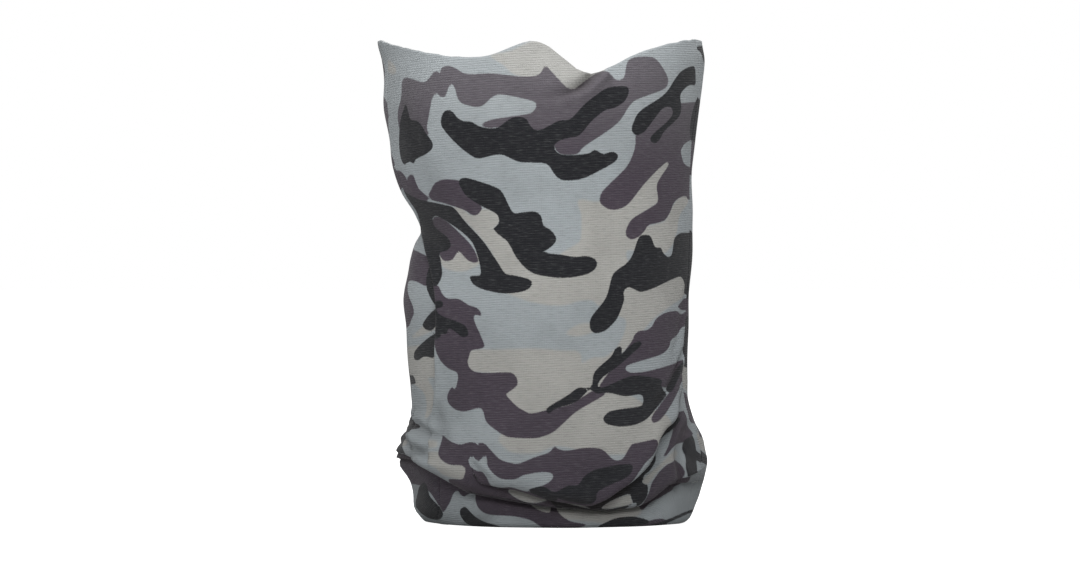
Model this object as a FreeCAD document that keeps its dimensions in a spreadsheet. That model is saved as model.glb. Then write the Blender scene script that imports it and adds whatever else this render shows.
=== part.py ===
import FreeCAD, Part
import os

import Sketcher
from FreeCAD import Placement, Rotation, Vector

# Neck gaiter: a thin stretch-knit tube, standing as it is worn, with its upper edge pulled over
# the nose and its lower end pushed down into a stack of folds. Millimetres, +Z up, the wearer
# faces -Y, and the origin is on the resting plane, below the middle of the tube's box.

# Levels of the tube's outer face: height, then centre and half size across (X) and deep (Y).
# Each half depth is larger than its half width, as the ellipse's major radius has to be.
LEVELS = [
    # name, height, centre_x, half_width, centre_y, half_depth
    ("foot", 0.0, 7.2, 62.0, -1.3, 62.5),
    ("roll_low", 10.0, 7.2, 67.0, -1.3, 67.5),
    ("roll_belly", 21.0, 6.5, 70.5, -1.1, 71.5),
    ("roll_full", 32.0, 5.4, 72.8, -1.0, 74.0),
    ("roll_top", 44.0, 5.4, 70.5, -1.3, 71.5),
    ("neck_low", 57.0, 5.1, 67.5, -1.7, 68.2),
    ("neck", 76.0, 4.0, 66.8, -1.9, 67.5),
    ("throat", 100.0, 3.2, 68.2, -2.3, 70.5),
    ("jaw", 124.0, 3.5, 68.0, -2.3, 75.5),
    ("cheek_low", 148.0, 3.1, 69.0, -1.7, 81.0),
    ("cheek", 172.0, 1.6, 71.6, -0.8, 85.5),
    ("nose", 196.0, 1.2, 74.2, -0.3, 88.0),
    ("bridge", 214.0, 0.4, 76.1, 1.7, 87.0),
    ("rim", 231.0, -0.5, 77.7, 4.7, 83.5),
]

# Control points of the raw upper edge, seen from the front: x, height.
FRONT_EDGE = [
    (-84.8, 234.5), (-66.8, 226.0), (-40.8, 219.0), (-14.8, 219.5), (1.7, 231.0), (15.2, 218.0),
    (28.2, 208.0), (45.2, 220.5), (61.2, 228.0), (75.2, 231.5), (85.2, 234.0),
]
BACK_EDGE = [(-86.8, 235.0), (-68.8, 229.0), (-36.8, 208.0), (-0.8, 203.0),
             (35.2, 208.0), (67.2, 229.0), (85.2, 235.0)]

# Control points of the seam on the wearer's right, which swings forward under the jaw: y, height.
JAW_SEAM = [(-20.3, 240.0), (-20.3, 176.0), (-21.3, 146.0), (-52.3, 116.0),
            (-42.3, 72.0), (-38.3, 42.0), (-36.3, -8.0)]

# Single dimensions.
SIZES = {
    "cloth": 0.6,               # thickness of the knit
    "rim_stack": 3.0,           # plies folded together in the lower end, as one wall
    "gap": 0.3,                 # room for the lower looper between a panel and its allowance
    "label_room": 0.4,          # between the two allowances, filled by the label's two plies
    "allowance": 5.0,           # seam line to cut edge
    "turn_gap": 0.06,           # keeps the two cloths apart where both turn inwards at the seam
    "seam_y": -20.3,            # straight side seam, on the wearer's left
    "seam_foot": 56.0,          # the allowances are modelled from here, above the folds,
    "seam_top": 228.0,          # to here, just under the raw edge at the sides
    "middle_x": 4.2,            # parts the two side seams from each other
    "reach": 130.0,             # cutting tools end this far out
    "tool_top": 260.0,
    "untrimmed": 2.0,           # level stretch of the edge, at the sides, between the two trims
    "thread_radius": 0.12,
    "thread_clearance": 0.04,
    "needle_inset": 1.1,        # needle line to seam line
    "looper_inset": 1.5,        # looper turns beside the needle line
    "stitch": 3.0,              # stitch length along the seam
    "stitch_end": 2.0,          # last stitch to the seam's upper end
    "label_low": 74.0,
    "label_length": 24.0,
    "label_front": -39.8,
    "label_back": -10.3,
}

# Directions in which the lofted faces of each panel start: a turn about Z from +X, in degrees.
FRONT_PANEL_START = 90
BACK_PANEL_START = -90

doc = FreeCAD.newDocument("neck_gaiter")
sheet = doc.addObject("Spreadsheet::Sheet", "Sizes")


# ---------------------------------------------------------------- driving dimensions

def add_size(row, alias, value):
    sheet.set(f"A{row}", alias)
    sheet.set(f"B{row}", str(value))
    sheet.setAlias(f"B{row}", alias)


def fill_sheet():
    sizes = dict(SIZES)
    for name, height, centre_x, half_width, centre_y, half_depth in LEVELS:
        sizes[f"{name}_height"] = height
        sizes[f"{name}_centre_x"] = centre_x
        sizes[f"{name}_half_width"] = half_width
        sizes[f"{name}_centre_y"] = centre_y
        sizes[f"{name}_half_depth"] = half_depth
    for prefix, points in (("front_edge", FRONT_EDGE), ("back_edge", BACK_EDGE), ("jaw_seam", JAW_SEAM)):
        for index, (across, height) in enumerate(points):
            sizes[f"{prefix}_{index}_across"] = across
            sizes[f"{prefix}_{index}_height"] = height
    for row, (alias, value) in enumerate(sizes.items(), start=1):
        add_size(row, alias, value)
    doc.recompute()


def size(alias):
    return float(getattr(sheet, alias))


# ---------------------------------------------------------------- tube faces

def level_ellipse(face_name, level, inset, start_turn):
    """One level of a face that lies `inset` (an expression) inside the tube's outer face."""
    ellipse = doc.addObject("Part::Ellipse", f"{face_name}_{level}")
    ellipse.setExpression("MajorRadius", f"Sizes.{level}_half_depth - ({inset})")
    ellipse.setExpression("MinorRadius", f"Sizes.{level}_half_width - ({inset})")
    ellipse.Placement = Placement(Vector(), Rotation(Vector(0, 0, 1), start_turn))
    ellipse.setExpression("Placement.Base.x", f"Sizes.{level}_centre_x")
    ellipse.setExpression("Placement.Base.y", f"Sizes.{level}_centre_y")
    ellipse.setExpression("Placement.Base.z", f"Sizes.{level}_height")
    return ellipse


def tube_solid(name, inset, start_turn, folded_insets=None):
    """Solid inside a face of the tube; folded_insets replace the inset at the folded levels.

    The loft's own joining line starts where start_turn points, so each panel is cut from lofts
    whose line lies on the other panel.
    """
    sections = []
    for level in (row[0] for row in LEVELS):
        level_inset = (folded_insets or {}).get(level, inset)
        sections.append(level_ellipse(name, level, level_inset, start_turn))
    loft = doc.addObject("Part::Loft", name)
    loft.Sections = sections
    loft.Solid = True
    loft.Ruled = False
    return loft


def boolean(kind, name, base, tool):
    feature = doc.addObject(f"Part::{kind}", name)
    feature.Base = base
    feature.Tool = tool
    return feature


# ---------------------------------------------------------------- cutting tools

def spline_through_poles(sketch, prefix, count, shift):
    """B-spline whose control points are bound to the sheet, moved across by `shift`."""
    poles = [Vector(size(f"{prefix}_{i}_across"), size(f"{prefix}_{i}_height"), 0) for i in range(count)]
    curve = sketch.addGeometry(Part.BSplineCurve(poles, None, None, False, 3, None, False), False)
    sketch.exposeInternalGeometry(curve)
    for index, pole in enumerate(poles):
        circle = curve + 1 + index
        for kind, value, source in (("DistanceX", pole.x, "across"), ("DistanceY", pole.y, "height")):
            number = sketch.addConstraint(Sketcher.Constraint(kind, -1, 1, circle, 3, value))
            name = f"{source}{curve}_{index}"
            sketch.renameConstraint(number, name)
            moved = f" + ({shift})" if kind == "DistanceX" else ""
            sketch.setExpression(f"Constraints.{name}", f"Sizes.{prefix}_{index}_{source}{moved}")
    return curve


def close_loop(sketch, first, first_end, second, second_end, corners):
    """Straight lines from one curve end to another by way of free corner points."""
    start = sketch.getPoint(first, first_end)
    finish = sketch.getPoint(second, second_end)
    points = [start] + corners + [finish]
    last, last_end = first, first_end
    for here, there in zip(points, points[1:]):
        line = sketch.addGeometry(Part.LineSegment(here, there), False)
        sketch.addConstraint(Sketcher.Constraint("Coincident", last, last_end, line, 1))
        last, last_end = line, 2
    sketch.addConstraint(Sketcher.Constraint("Coincident", last, last_end, second, second_end))


def side_sketch(name):
    """Sketch seen from the side, its x along Y and its y along Z, standing beyond the tube."""
    sketch = doc.addObject("Sketcher::SketchObject", name)
    turn = Rotation(Vector(0, 1, 0), Vector(0, 0, 1), Vector(1, 0, 0), "XYZ")
    sketch.Placement = Placement(Vector(-size("reach"), 0, 0), turn)
    sketch.setExpression("Placement.Base.x", "-Sizes.reach")
    return sketch


def extrusion(name, sketch, length):
    feature = doc.addObject("Part::Extrusion", name)
    feature.Base = sketch
    feature.DirMode = "Normal"
    feature.setExpression("LengthFwd", length)
    feature.Solid = True
    return feature


def straight_side_box(name, y_low, y_high, foot, top):
    """Box on the straight seam's side of the tube, between two depths and two heights."""
    box = doc.addObject("Part::Box", name)
    box.setExpression("Length", "Sizes.reach - Sizes.middle_x")
    box.setExpression("Width", f"({y_high}) - ({y_low})")
    box.setExpression("Height", f"{top} - ({foot})")
    box.setExpression("Placement.Base.x", "Sizes.middle_x")
    box.setExpression("Placement.Base.y", y_low)
    box.setExpression("Placement.Base.z", foot)
    return box


def front_region():
    """All that lies in front of both seams."""
    sketch = side_sketch("front_side")
    curve = spline_through_poles(sketch, "jaw_seam", len(JAW_SEAM), "0")
    reach = size("reach")
    top = size("jaw_seam_0_height")
    foot = size(f"jaw_seam_{len(JAW_SEAM) - 1}_height")
    close_loop(sketch, curve, 1, curve, 2, [Vector(-reach, top, 0), Vector(-reach, foot, 0)])
    jaw_side = extrusion("front_jaw_side", sketch, "Sizes.reach + Sizes.middle_x")
    straight_side = straight_side_box(
        "front_straight_side", "-Sizes.reach", "Sizes.seam_y", "-10", "Sizes.tool_top")
    return boolean("Fuse", "front_region", jaw_side, straight_side)


def seam_ribbon(name, shift_low, shift_high):
    """Strip along both seams, from one distance behind the seam line to another."""
    sketch = side_sketch(f"{name}_side")
    count = len(JAW_SEAM)
    near = spline_through_poles(sketch, "jaw_seam", count, shift_low)
    far = spline_through_poles(sketch, "jaw_seam", count, shift_high)
    doc.recompute()
    close_loop(sketch, near, 1, far, 1, [])
    close_loop(sketch, near, 2, far, 2, [])
    jaw_side = extrusion(f"{name}_jaw_side", sketch, "Sizes.reach + Sizes.middle_x")
    above = doc.addObject("Part::Box", f"{name}_above")
    above.setExpression("Length", "2 * Sizes.reach")
    above.setExpression("Width", "2 * Sizes.reach")
    above.setExpression("Height", "Sizes.seam_top - Sizes.seam_foot")
    above.setExpression("Placement.Base.x", "-Sizes.reach")
    above.setExpression("Placement.Base.y", "-Sizes.reach")
    above.setExpression("Placement.Base.z", "Sizes.seam_foot")
    jaw_strip = boolean("Common", f"{name}_jaw_strip", jaw_side, above)
    straight_side = straight_side_box(
        f"{name}_straight_side", f"Sizes.seam_y + ({shift_low})", f"Sizes.seam_y + ({shift_high})",
        "Sizes.seam_foot", "Sizes.seam_top")
    return boolean("Fuse", name, jaw_strip, straight_side)


def edge_trim(name, prefix, count, rear_y, length):
    """All above the raw upper edge, over the depths from rear_y forward by length."""
    sketch = doc.addObject("Sketcher::SketchObject", f"{name}_outline")
    turn = Rotation(Vector(1, 0, 0), Vector(0, 0, 1), Vector(0, -1, 0), "XYZ")
    sketch.Placement = Placement(Vector(), turn)
    sketch.setExpression("Placement.Base.y", rear_y)
    curve = spline_through_poles(sketch, prefix, count, "0")
    top = size("tool_top")
    left = size(f"{prefix}_0_across")
    right = size(f"{prefix}_{count - 1}_across")
    close_loop(sketch, curve, 1, curve, 2, [Vector(left, top, 0), Vector(right, top, 0)])
    return extrusion(name, sketch, length)


# ---------------------------------------------------------------- cloth panels and label

def make_faces(panel_name, ply, start_turn):
    """Nested solids, each bounded by one of the faces that a panel's plies lie between."""
    stack = "Sizes.rim_stack"
    folded = {level: stack for level in ("foot", "roll_low", "roll_belly", "roll_full", "roll_top")}
    folded["neck_low"] = "2 * Sizes.cloth"
    return {
        "outer": tube_solid(f"{panel_name}_outer_face", "0", start_turn),
        "middle": tube_solid(f"{panel_name}_middle_face", "0.5 * Sizes.cloth", start_turn),
        "inner": tube_solid(f"{panel_name}_inner_face", "Sizes.cloth", start_turn, folded),
        "ply_out": tube_solid(f"{panel_name}_ply_out", ply, start_turn),
        "ply_middle": tube_solid(f"{panel_name}_ply_middle", f"{ply} + 0.5 * Sizes.cloth", start_turn),
        "ply_in": tube_solid(f"{panel_name}_ply_in", f"{ply} + Sizes.cloth", start_turn),
    }


def layer(name, outside, inside, region):
    """The part of one layer between two faces that lies in a region."""
    filled = boolean("Common", f"{name}_filled", outside, region)
    return boolean("Cut", name, filled, inside)


def trimmed_wall(panel_name, faces, trims):
    """The tube's wall, cut to its raw upper edge."""
    wall = boolean("Cut", f"{panel_name}_whole_wall", faces["outer"], faces["inner"])
    for number, trim in enumerate(trims):
        wall = boolean("Cut", f"{panel_name}_wall_trimmed_{number}", wall, trim)
    return wall


def panel(name, faces, trims, kind, region, web_strip, allowance_strip):
    """Wall, turned-in web and seam allowance as one piece of cloth."""
    wall = boolean(kind, f"{name}_wall", trimmed_wall(name, faces, trims), region)
    web = layer(f"{name}_web", faces["middle"], faces["ply_middle"], web_strip)
    allowance = layer(f"{name}_allowance", faces["ply_out"], faces["ply_in"], allowance_strip)
    fused = doc.addObject("Part::MultiFuse", name)
    fused.Shapes = [wall, web, allowance]
    return fused


def make_trims():
    return [
        edge_trim("front_trim", "front_edge", len(FRONT_EDGE), "Sizes.seam_y",
                  "Sizes.reach + Sizes.seam_y"),
        edge_trim("back_trim", "back_edge", len(BACK_EDGE), "Sizes.reach",
                  "Sizes.reach - Sizes.seam_y - Sizes.untrimmed"),
    ]


def make_panels(front_faces, back_faces):
    region = front_region()
    trims = make_trims()
    front = panel(
        "front_panel", front_faces, trims, "Common", region,
        seam_ribbon("front_web_strip", "-Sizes.cloth", "-Sizes.turn_gap"),
        seam_ribbon("front_allowance_strip", "-1.5 * Sizes.cloth", "Sizes.allowance"))
    back = panel(
        "back_panel", back_faces, trims, "Cut", region,
        seam_ribbon("back_web_strip", "Sizes.turn_gap", "Sizes.cloth"),
        seam_ribbon("back_allowance_strip", "2 * Sizes.turn_gap", "Sizes.allowance"))
    return [front, back]


def make_label(back_faces, front_ply):
    """Blank woven label, folded double, its root between the allowances of the jaw seam."""
    box = doc.addObject("Part::Box", "label_space")
    box.setExpression("Length", "Sizes.reach")
    box.setExpression("Width", "Sizes.label_back - Sizes.label_front")
    box.setExpression("Height", "Sizes.label_length")
    box.setExpression("Placement.Base.x", "-Sizes.reach")
    box.setExpression("Placement.Base.y", "Sizes.label_front")
    box.setExpression("Placement.Base.z", "Sizes.label_low")
    inner_face = tube_solid("label_inner_face", front_ply, BACK_PANEL_START)
    return layer("care_label", back_faces["ply_in"], inner_face, box)


# ---------------------------------------------------------------- overlock threads

def seam_line(side, shift):
    """Edge that a seam line makes from the side, moved back by `shift`, beside the tube."""
    if side == "left":
        outline = doc.getObject("front_side").Shape
        edge = [e for e in outline.Edges if e.Curve.TypeId == "Part::GeomBSplineCurve"][0]
        return edge.translated(Vector(0, shift, 0)), Vector(size("reach") + size("middle_x"), 0, 0)
    start = Vector(size("middle_x"), size("seam_y") + shift, size("seam_foot"))
    end = Vector(start.x, start.y, size("rim_height"))
    return Part.makeLine(start, end), Vector(size("reach") - size("middle_x"), 0, 0)


def line_on_face(face_solid, side, shift, inward):
    """Points of a seam line on a tube face, moved towards the tube's middle by `inward`."""
    edge, sweep = seam_line(side, shift)
    section = face_solid.Shape.section(edge.extrude(sweep))
    points = [p for e in section.Edges for p in e.discretize(Number=120)]
    points = [p for p in points if p.z > size("seam_foot") - size("stitch")]
    points.sort(key=lambda p: p.z)
    middle = Vector(size("neck_centre_x"), size("neck_centre_y"), 0)
    moved = []
    for point in points:
        direction = middle - Vector(point.x, point.y, 0)
        direction.normalize()
        moved.append(point + direction * inward)
    return moved


def at_height(points, height):
    """Point of a rising line at a height."""
    for below, above in zip(points, points[1:]):
        if below.z <= height <= above.z and above.z > below.z:
            return below + (above - below) * ((height - below.z) / (above.z - below.z))
    return points[-1]


def stitch_heights(points):
    pitch = size("stitch")
    first = size("seam_foot") + pitch
    last = min(points[-1].z, size("seam_top")) - size("stitch_end") - pitch
    count = int((last - first) / pitch)
    return [first + pitch * i for i in range(count)]


def thread_path(near, far, heights, pitch, phase):
    """Square wave between two rising lines, one full wave in each stitch."""
    path = []
    for height in heights:
        start = height + phase * pitch
        path += [
            at_height(near, start),
            at_height(near, start + 0.42 * pitch),
            at_height(far, start + 0.5 * pitch),
            at_height(far, start + 0.92 * pitch),
        ]
    return path


def add_thread(name, path):
    """Round thread along a path, as one solid."""
    spine = Part.makePolygon(path)
    circle = Part.Wire(Part.makeCircle(size("thread_radius"), path[0], path[1] - path[0]))
    feature = doc.addObject("Part::Feature", name)
    sharp_corners = 1
    feature.Shape = spine.makePipeShell([circle], True, False, sharp_corners)
    return feature


def make_threads(side, inside, outside):
    """Three-thread overlock over the two allowances of one seam, between their free faces."""
    stand_off = size("thread_radius") + size("thread_clearance")
    needle = size("needle_inset")
    turn = size("looper_inset")
    edge = size("allowance") + stand_off
    pitch = size("stitch")
    needle_in = line_on_face(inside, side, needle, stand_off)
    needle_out = line_on_face(outside, side, needle, -stand_off)
    heights = stitch_heights(needle_in)
    upper = thread_path(
        line_on_face(inside, side, turn, stand_off), line_on_face(inside, side, edge, stand_off),
        heights, pitch, 0.0)
    lower = thread_path(
        line_on_face(outside, side, turn, -stand_off), line_on_face(outside, side, edge, -stand_off),
        heights, pitch, 0.25)
    return [
        add_thread(f"{side}_needle_thread", thread_path(needle_in, needle_out, heights, pitch, 0.1)),
        add_thread(f"{side}_upper_looper_thread", upper),
        add_thread(f"{side}_lower_looper_thread", lower),
    ]


# ---------------------------------------------------------------- check and write

def check(parts):
    for feature in doc.Objects:
        if "Invalid" in feature.State or "Error" in feature.State:
            raise RuntimeError(f"{feature.Label} failed: {feature.State}")
    for part in parts:
        shape = part.Shape
        if shape.isNull() or not shape.isValid() or not shape.Solids:
            raise RuntimeError(f"{part.Label} has no valid solid")


def write(parts):
    os.makedirs("parts", exist_ok=True)
    for part in parts:
        part.Shape.exportStep(os.path.join("parts", f"{part.Label}.step"))
        print(part.Label, len(part.Shape.Solids), "solid(s)", round(part.Shape.Volume, 1), "mm3")


def main():
    fill_sheet()
    back_ply = "Sizes.cloth + Sizes.gap"
    front_ply = f"{back_ply} + Sizes.cloth + Sizes.label_room"
    front_faces = make_faces("front", front_ply, FRONT_PANEL_START)
    back_faces = make_faces("back", back_ply, BACK_PANEL_START)
    parts = make_panels(front_faces, back_faces)
    parts.append(make_label(back_faces, front_ply))
    doc.recompute()
    for side in ("left", "right"):
        parts += make_threads(side, front_faces["ply_in"], back_faces["ply_out"])
    doc.recompute()
    for part in parts:
        part.Label = part.Name
    check(parts)
    write(parts)


main()
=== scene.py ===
import math

import bpy
import numpy as np
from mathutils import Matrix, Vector
from mathutils.bvhtree import BVHTree


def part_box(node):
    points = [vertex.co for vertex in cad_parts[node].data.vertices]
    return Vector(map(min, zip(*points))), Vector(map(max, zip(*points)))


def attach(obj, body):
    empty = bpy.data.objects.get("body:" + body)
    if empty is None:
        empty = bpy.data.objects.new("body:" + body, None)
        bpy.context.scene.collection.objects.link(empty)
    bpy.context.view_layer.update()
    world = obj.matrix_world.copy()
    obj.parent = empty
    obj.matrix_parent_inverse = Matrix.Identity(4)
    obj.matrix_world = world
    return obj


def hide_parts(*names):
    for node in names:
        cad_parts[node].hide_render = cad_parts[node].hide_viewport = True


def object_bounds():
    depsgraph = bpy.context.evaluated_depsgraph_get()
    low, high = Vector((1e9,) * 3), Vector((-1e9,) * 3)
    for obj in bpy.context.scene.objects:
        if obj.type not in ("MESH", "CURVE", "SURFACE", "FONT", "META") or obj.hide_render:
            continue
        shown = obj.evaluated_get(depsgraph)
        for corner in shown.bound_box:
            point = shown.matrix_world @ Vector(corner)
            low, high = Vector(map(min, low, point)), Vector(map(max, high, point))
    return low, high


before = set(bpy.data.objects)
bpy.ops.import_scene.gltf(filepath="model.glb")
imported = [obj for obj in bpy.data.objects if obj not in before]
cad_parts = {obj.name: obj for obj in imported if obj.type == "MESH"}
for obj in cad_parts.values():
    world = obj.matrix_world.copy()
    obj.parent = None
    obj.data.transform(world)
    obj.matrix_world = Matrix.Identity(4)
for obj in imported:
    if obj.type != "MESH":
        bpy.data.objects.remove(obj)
cad_box = [list(corner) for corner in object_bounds()]

# Everything below is worked out in millimetres and turned into metres when a mesh is made.
MM = 0.001
SEED = 11
AROUND = 74.0            # millimetres of cloth for one radian around the tube
EYE_BACK = 2196.0        # camera to the middle of the tube
EYE_HEIGHT = 115.0
EYE_SIDE = -0.3
AIM_HEIGHT = 114.2
FRAME_WIDTH = 519.5      # width of the picture, measured at the middle of the tube

# Cloth
CLOTH = 0.6
FRONT_STEP = 1.35        # size of a mesh cell on the front panel
BACK_STEP = 1.7
FOLD_GAP = 2.6           # from one ply to the next where the cloth is folded
OVERLAP = 10.0           # how far the plies of a fold lie over each other
FOLD_RUN = 12.0          # straight cloth above a fold that belongs to the fold's rows
HEM_TURN = 2.4           # radius of the turn at the lower end
HEM_CLEAR = 1.5          # the tucked hem stays this far behind the band
HEM_TUCK = 28.0          # cloth tucked up inside
SEAM_Y = -20.3           # the side seams run straight down at this depth
SEAM_TURN = 0.55         # radius of the turn where a panel goes under at a seam
ROLL_TURN = 1.3          # the same along the jaw crease, where the front ply's edge rolls
ALLOWANCE = 5.0          # cloth beyond the seam, turned under
EDGE_PARTS = 9           # mesh columns across an allowance
ALLOWANCE_THICK = 0.25   # pressed flat, so that it never shows through the panel over it
PRINT_DROP = 180.0       # the print repeats after this much cloth
COURSE = 1.1             # height of a knitted row
WALE = 0.9               # width of a column of loops


# ---------------------------------------------------------------- measured from the frame

def cad_walls():
    """Both CAD panels as one tree for rays, in millimetres."""
    corners, faces = [], []
    for name in ("front_panel", "back_panel"):
        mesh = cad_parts[name].data
        first = len(corners)
        corners += [vertex.co / MM for vertex in mesh.vertices]
        faces += [[first + index for index in polygon.vertices] for polygon in mesh.polygons]
    return BVHTree.FromPolygons(corners, faces)


walls = cad_walls()
low = np.array(cad_box[0]) / MM
high = np.array(cad_box[1]) / MM
middle = (low + high) / 2 + np.array((4.2, -1.6, 0.0))     # the tube's middle line
FAR = 200.0              # rays start this far from the middle line
LEVEL_STEP = 3.0         # between the heights that are measured
RIM_STEP = 0.5


def wall_reach(direction, height):
    """Distance from the middle line to the tube's outer wall, or None where the wall ends."""
    heading = Vector((direction[0], direction[1], 0.0))
    start = Vector((middle[0], middle[1], height)) + heading * FAR
    place, _, _, distance = walls.ray_cast(start, -heading, FAR)
    return None if place is None else FAR - distance


def evened(values):
    """Median, then mean, over five neighbours, so that a seam under a ray leaves no step."""
    for combine in (np.median, np.mean):
        padded = np.pad(values, 2, mode="edge")
        values = combine([padded[i:i + len(values)] for i in range(5)], axis=0)
    return values


def measure_levels():
    """Centre and half size of the tube at each height: across, then front to back."""
    heights = np.arange(1.0, high[2], LEVEL_STEP)
    reaches = {side: [] for side in ((1, 0), (-1, 0), (0, 1), (0, -1))}
    for height in heights:
        for side, found in reaches.items():
            reach = wall_reach(side, height)
            found.append(found[-1] if reach is None else reach)
    right, left, back, front = (evened(np.array(found)) for found in reaches.values())
    columns = (middle[0] + (right - left) / 2, (right + left) / 2,
               middle[1] + (back - front) / 2, (back + front) / 2)
    return heights, columns


def measure_rim():
    """Height of the CAD tube's upper edge at each angle from the front."""
    angles = np.radians(np.arange(0, 361, 3))
    rim = []
    for angle in angles:
        direction = (math.sin(angle), -math.cos(angle))
        height = high[2] + 1.0
        while wall_reach(direction, height) is None:
            height -= RIM_STEP
        rim.append(height)
    return angles, np.array(rim)


LEVEL_HEIGHTS, LEVEL_COLUMNS = measure_levels()
RIM_ANGLES, RIM_HEIGHTS = measure_rim()


def level(z):
    """The four measured columns at any heights."""
    return [np.interp(z, LEVEL_HEIGHTS, column) for column in LEVEL_COLUMNS]


def rim_height(t):
    return np.interp(np.mod(t, 2 * math.pi), RIM_ANGLES, RIM_HEIGHTS)


# ---------------------------------------------------------------- curves

def step(low_edge, high_edge, value):
    """Smooth change from 0 at the first edge to 1 at the second."""
    x = np.clip((np.asarray(value, float) - low_edge) / (high_edge - low_edge), 0, 1)
    return x * x * (3 - 2 * x)


def bump(value, centre, width):
    return np.exp(-((value - centre) / width) ** 2)


def smooth(x, points):
    """Smooth curve through points given as (x, y), level beyond both ends."""
    xs, ys = np.array(sorted(points), float).T
    slopes = np.gradient(ys, xs)
    slopes[0] = slopes[-1] = 0
    x = np.clip(x, xs[0], xs[-1])
    i = np.clip(np.searchsorted(xs, x) - 1, 0, len(xs) - 2)
    width = xs[i + 1] - xs[i]
    f = (x - xs[i]) / width
    rise = f * f * (3 - 2 * f)
    return (ys[i] * (1 - rise) + ys[i + 1] * rise
            + width * slopes[i] * f * (1 - f) ** 2 - width * slopes[i + 1] * f * f * (1 - f))


def rounded(points, closed=True, parts=5):
    """Points of a curve through the given ones. A third value marks a sharp corner."""
    knots = np.array([point[:2] for point in points], float)
    sharp = [len(point) > 2 for point in points]
    count = len(knots)
    spans = count if closed else count - 1
    line = []
    for i in range(spans):
        p1, p2 = knots[i], knots[(i + 1) % count]
        p0 = knots[i - 1] if (closed or i > 0) and not sharp[i] else p1
        after = (i + 2) % count if closed else min(i + 2, count - 1)
        p3 = knots[after] if not sharp[(i + 1) % count] else p2
        for part in range(parts):
            f = part / parts
            line.append(0.5 * (2 * p1 + (p2 - p0) * f + (2 * p0 - 5 * p1 + 4 * p2 - p3) * f ** 2
                               + (3 * p1 - p0 - 3 * p2 + p3) * f ** 3))
    if not closed:
        line.append(knots[-1])
    return np.array(line)


# ---------------------------------------------------------------- the worn shape
# Heights and widths in the front view. t is the angle around the tube: 0 in front, positive to +X.

LEFT_SIDE = [(0, -57), (6, -61), (15, -62.5), (22, -65), (28, -69), (33, -67.5), (38, -66.5), (43, -64.5),
             (49, -61.5), (57, -61.5), (70, -62.8), (93, -64.5), (107, -66), (119, -64), (127, -62.5),
             (133, -60.5), (139, -57.5), (147, -60), (157, -66.5), (170, -71), (183, -72.5), (198, -75),
             (212, -75.5), (222, -76.5), (231, -78.5)]
RIGHT_SIDE = [(0, 73), (6, 74.5), (15, 76), (22, 77.8), (28, 78.2), (33, 78), (43, 75.8), (49, 73.2),
              (57, 70.8), (70, 70), (93, 71), (107, 71.5), (132, 72.8), (147, 73), (170, 73), (183, 74.3),
              (198, 76.5), (212, 78), (222, 78.6), (231, 77.2)]


def side_fit(t, z):
    """How far the sides stand out from the CAD tube's even ellipse."""
    centre, half, _, _ = level(z)
    left = (centre - half) - smooth(z, LEFT_SIDE)
    right = smooth(z, RIGHT_SIDE) - (centre + half)
    return left * step(0.35, 0.95, -np.sin(t)) + right * step(0.35, 0.95, np.sin(t))


def body(t, z, out):
    """Points of the tube before any folds, moved outwards by out."""
    centre_x, half_x, centre_y, half_y = level(z)
    out = out + side_fit(t, z)
    return np.stack([centre_x + (half_x + out) * np.sin(t),
                     centre_y - (half_y + out) * np.cos(t),
                     z + 0.0 * out], axis=-1)


STAND, FRONT_STAND = 0.7, 1.4           # folded cloth stands off the tube all round, and more in front
STAND_FROM, STAND_FULL = 95.0, 45.0     # heights between which it comes off the tube
LIP_STAND = 1.2                         # the same once more around the front folds
LIP_STAND_FROM, LIP_STAND_FULL = 50.0, 30.0
SIDE_LIMIT = 0.998                      # sine of the last angle that the front view can place
UNROLL_ROUNDS = 10


def facing(t):
    """1 on the front of the tube, fading to 0 at its sides."""
    return step(0.15, 0.8, np.cos(t))


def backward(t):
    """1 on the back of the tube, fading to 0 at its sides."""
    return step(0.05, -0.5, np.cos(t))


def from_front(t):
    """Angles counted both ways from the front, so that behind they change sign."""
    return np.where(t > math.pi, t - 2 * math.pi, t)


def stand_off(t, z):
    """How far the cloth stands off the tube above its folds."""
    return (STAND + FRONT_STAND * facing(t)) * step(STAND_FROM, STAND_FULL, z)


def unroll(points, outer=1.0):
    """Places seen from the front, as angle and height on the tube.

    With outer 1 they lie on the cloth above the folds, with outer 0 on the tube itself."""
    seen = np.array([point[:2] for point in points], float)
    z = seen[:, 1].copy()
    share = np.clip(seen[:, 0] / AROUND, -SIDE_LIMIT, SIDE_LIMIT)
    for _ in range(UNROLL_ROUNDS):
        t = np.arcsin(share)
        off = outer * (stand_off(t, z) + LIP_STAND * step(LIP_STAND_FROM, LIP_STAND_FULL, z))
        point = body(t, z, off)
        nearer = (EYE_BACK + point[:, 1]) / EYE_BACK
        x = seen[:, 0] * nearer
        z = EYE_HEIGHT + (seen[:, 1] - EYE_HEIGHT) * nearer
        side = np.where(x > 0, 1.0, -1.0) * math.pi / 2
        centre = level(z)[0]
        reach = np.abs(body(side, z, off)[:, 0] - centre)
        aim_x = np.clip(x, centre - SIDE_LIMIT * reach, centre + SIDE_LIMIT * reach)
        share = np.clip(share + (aim_x - point[:, 0]) / reach, -SIDE_LIMIT, SIDE_LIMIT)
    return np.arcsin(share) + (x - aim_x) / AROUND, z


def line_height(t, points):
    """Height, at angle t, of a line drawn in the front view."""
    angles, heights = unroll(rounded(points, closed=False))
    order = np.argsort(angles)
    return np.interp(t, angles[order], heights[order])


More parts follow.
